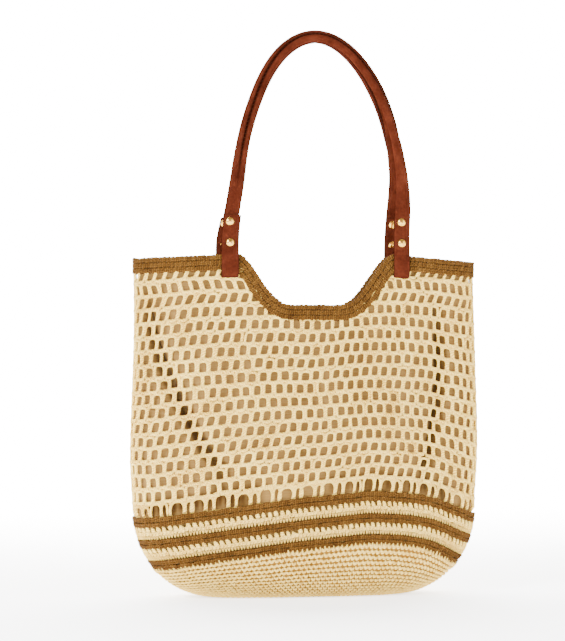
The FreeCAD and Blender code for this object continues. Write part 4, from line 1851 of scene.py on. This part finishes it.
    def seam(self) -> bpy.types.Object:
        """Returns the hand stitches across the grip's seam.

        Returns:
            The finished piece.
        """
        stations = [item for item in self.stations() if item.groove > 0.6]
        middles = np.array([item.middle - item.turned()[1] * (item.half_thickness - 0.9 * MM)
                            for item in stations])
        steps = np.linalg.norm(np.diff(middles, axis=0), axis=1)
        along = np.concatenate([[0.0], np.cumsum(steps)])
        count = int(along[-1] / (4.6 * MM))
        thread = Bead(0.0, 0.0, 0.0, 4.2, 1.0, 1.0, 58.0, rings=6).model()
        works = []
        for place in np.linspace(2.0 * MM, along[-1] - 2.0 * MM, count):
            pick = int(np.searchsorted(along, place))
            station = stations[min(pick, len(stations) - 1)]
            middle = np.array([np.interp(place, along, middles[:, axis])
                               for axis in range(3)])
            wide, deep = station.turned()
            basis = np.stack([wide, unit(np.cross(wide, deep)), -deep])
            copy = Yarnwork(thread.points @ basis + middle, thread.corners, thread.sides,
                            thread.strand, thread.tone_and_painted_shading + 0.5)
            copy.points = self.to_world(copy.points)
            works.append(copy)
        name = f"{self.panel.value}_seam_stitches"
        thing = Yarnwork.joined(works).to_object(name, self.thread)
        body = f"{self.panel.value}_handle"
        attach(thing, body)
        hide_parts(f"{body}_seam")
        log.info("%s: %d stitches", name, count)
        return thing

    def rivets(self) -> None:
        """Replaces each rivet half with a turned piece on its own node's place."""
        for hand in ("left", "right"):
            for level in ("lower", "upper"):
                stem = f"{self.panel.value}_{hand}_rivet_{level}"
                self._turned(f"{stem}_cap", outward=True)
                self._turned(f"{stem}_post", outward=False)

    def _turned(self, node: str, outward: bool) -> bpy.types.Object:
        """Returns one rivet half, spun from its profile.

        Args:
            node: The CAD node it stands for.
            outward: Whether it is the outer cap; otherwise the post with its back cap.

        Returns:
            The finished piece.
        """
        if outward:
            profile = [(0.0, 2.2), (1.6, 2.05), (3.0, 1.55), (3.9, 0.95), (4.35, 0.5),
                       (4.5, 0.25), (4.45, 0.02), (0.0, 0.02)]
        else:
            profile = [(0.0, 0.95), (2.0, 0.85), (3.6, 0.55), (4.3, 0.25), (4.4, 0.0),
                       (1.7, 0.0), (1.7, -6.0), (0.0, -6.0)]
        deselect_all()
        bpy.ops.mesh.primitive_circle_add(vertices=3, radius=0.001)
        thing = bpy.context.object
        mesh = thing.data
        mesh.clear_geometry()
        points = [(radius * MM, 0.0, height * MM) for radius, height in profile]
        mesh.from_pydata(points, [(i, i + 1) for i in range(len(points) - 1)], [])
        bpy.ops.object.mode_set(mode="EDIT")
        bpy.ops.mesh.select_all(action="SELECT")
        bpy.ops.mesh.spin(steps=28, angle=2.0 * math.pi, center=(0.0, 0.0, 0.0),
                          axis=(0.0, 0.0, 1.0))
        bpy.ops.mesh.select_all(action="SELECT")
        bpy.ops.mesh.remove_doubles(threshold=0.00002)
        bpy.ops.mesh.normals_make_consistent(inside=False)
        bpy.ops.object.mode_set(mode="OBJECT")
        thing.name = f"{node}_metal"
        mesh.name = thing.name
        coords = np.empty(len(mesh.vertices) * 3)
        mesh.vertices.foreach_get("co", coords)
        placed = self._on_strap(coords.reshape(-1, 3), node, outward)
        mesh.vertices.foreach_set("co", placed.astype(np.float32).ravel())
        mesh.update()
        mesh.materials.clear()
        mesh.materials.append(self.gold)
        bpy.ops.object.shade_smooth_by_angle(angle=math.radians(40.0))
        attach(thing, f"{self.panel.value}_handle")
        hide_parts(node)
        return thing

    def _on_strap(self, points: np.ndarray, node: str, outward: bool) -> np.ndarray:
        """Moves a turned rivet half from its own axis onto the strap's face.

        Args:
            points: The half's points, spun round Z.
            node: The rivet's CAD node, which gives its x and height.
            outward: Whether the half sits on the outer face.

        Returns:
            The points in the bag's frame.
        """
        low, high = node_box(node)
        middle = (low + high) / 2.0 - self.hinge
        height = middle[2] / math.cos(self.lean)
        face = 0.0 if outward else 2.0 * self.ply
        sign = -1.0 if outward else 1.0
        local = np.stack([
            points[:, 0] + middle[0],
            face + sign * points[:, 2],
            points[:, 1] + height + face * math.tan(self.lean),
        ], axis=-1)
        return self.to_world(local)

    def build(self) -> None:
        """Makes the strap, its seam and its rivets."""
        self.strap()
        self.seam()
        self.rivets()


# ------------------------------------------------------------------ studio

@dataclass
class Studio:
    """A pale floor and backdrop, soft light and the camera."""

    surface: bpy.types.Material
    distance: float = 2.2
    turn: float = math.radians(8.0)
    frame_width: float = 0.609
    aim_across: float = -0.0243
    aim_height: float = 0.2945

    def backdrop(self) -> None:
        """Makes the floor and an upright backdrop behind the bag."""
        deselect_all()
        bpy.ops.mesh.primitive_plane_add(size=12.0, location=(0.0, 0.0, -0.0006))
        floor = bpy.context.object
        floor.name = "studio_floor"
        floor.data.materials.append(self.surface)
        deselect_all()
        bpy.ops.mesh.primitive_plane_add(size=12.0, location=(0.0, 3.0, 5.9),
                                         rotation=(QUARTER, 0.0, 0.0))
        paper = bpy.context.object
        paper.name = "studio_backdrop"
        bpy.ops.object.transform_apply(location=True, rotation=True, scale=True)
        paper.data.materials.append(self.surface)

    def lamp(self, name: str, place: tuple[float, float, float], size: float,
             power: float) -> None:
        """Adds one square soft lamp aimed at the bag's middle.

        Args:
            name: The lamp's name.
            place: Where it stands.
            size: Its side in metres.
            power: Its power in watts.
        """
        data = bpy.data.lights.new(name, "AREA")
        data.size = size
        data.energy = power
        lamp = bpy.data.objects.new(name, data)
        bpy.context.scene.collection.objects.link(lamp)
        away = np.array(place) - np.array([0.0, 0.0, 0.28])
        flat = math.hypot(away[0], away[1])
        lamp.location = place
        lamp.rotation_euler = (math.atan2(flat, away[2]), 0.0,
                               math.atan2(away[0], -away[1]))

    def camera(self) -> None:
        """Adds the level camera, a little to the left of the bag's middle."""
        data = bpy.data.cameras.new("studio_camera")
        data.sensor_fit = "HORIZONTAL"
        data.sensor_width = 36.0
        data.lens = data.sensor_width * self.distance / self.frame_width
        data.clip_end = 50.0
        view = bpy.data.objects.new("studio_camera", data)
        bpy.context.scene.collection.objects.link(view)
        right = np.array([math.cos(self.turn), -math.sin(self.turn), 0.0])
        ahead = np.array([math.sin(self.turn), math.cos(self.turn), 0.0])
        target = right * self.aim_across + np.array([0.0, 0.0, self.aim_height])
        view.location = target - ahead * self.distance
        view.rotation_euler = (QUARTER, 0.0, -self.turn)
        bpy.context.scene.camera = view

    def build(self) -> None:
        """Makes the floor, the light and the camera."""
        self.backdrop()
        world = bpy.data.worlds.new("studio_air")
        world.use_nodes = True
        air = world.node_tree.nodes["Background"]
        air.inputs["Color"].default_value = (1.0, 1.0, 1.0, 1.0)
        air.inputs["Strength"].default_value = 0.9
        bpy.context.scene.world = world
        self.lamp("key_light", (-1.5, -1.3, 1.4), 0.7, 92.0)
        self.lamp("fill_light", (1.4, -1.3, 0.8), 1.2, 22.0)
        self.lamp("low_light", (-0.3, -1.9, 0.12), 1.0, 27.0)
        self.camera()


def main() -> None:
    """Builds the bag from the base up, then its handles and the studio."""
    logging.basicConfig(level=logging.INFO, format="%(message)s")
    form = BagForm()
    cream = CREAM_YARN.material()
    brown = BROWN_YARN.material()
    leather = BROWN_LEATHER.material()
    thread = SEAM_THREAD.material()
    gold = PALE_GOLD.material()
    Studio(STUDIO_WHITE.material()).build()
    WallCrochet(form, cream, brown).build()
    MeshCrochet(form, cream).build()
    RimCrochet(form, brown).build()
    Lining(form, LINING_CLOTH.material()).build()
    for panel in Panel:
        Handle(panel, leather, thread, gold).build()


if __name__ == "__main__":
    main()
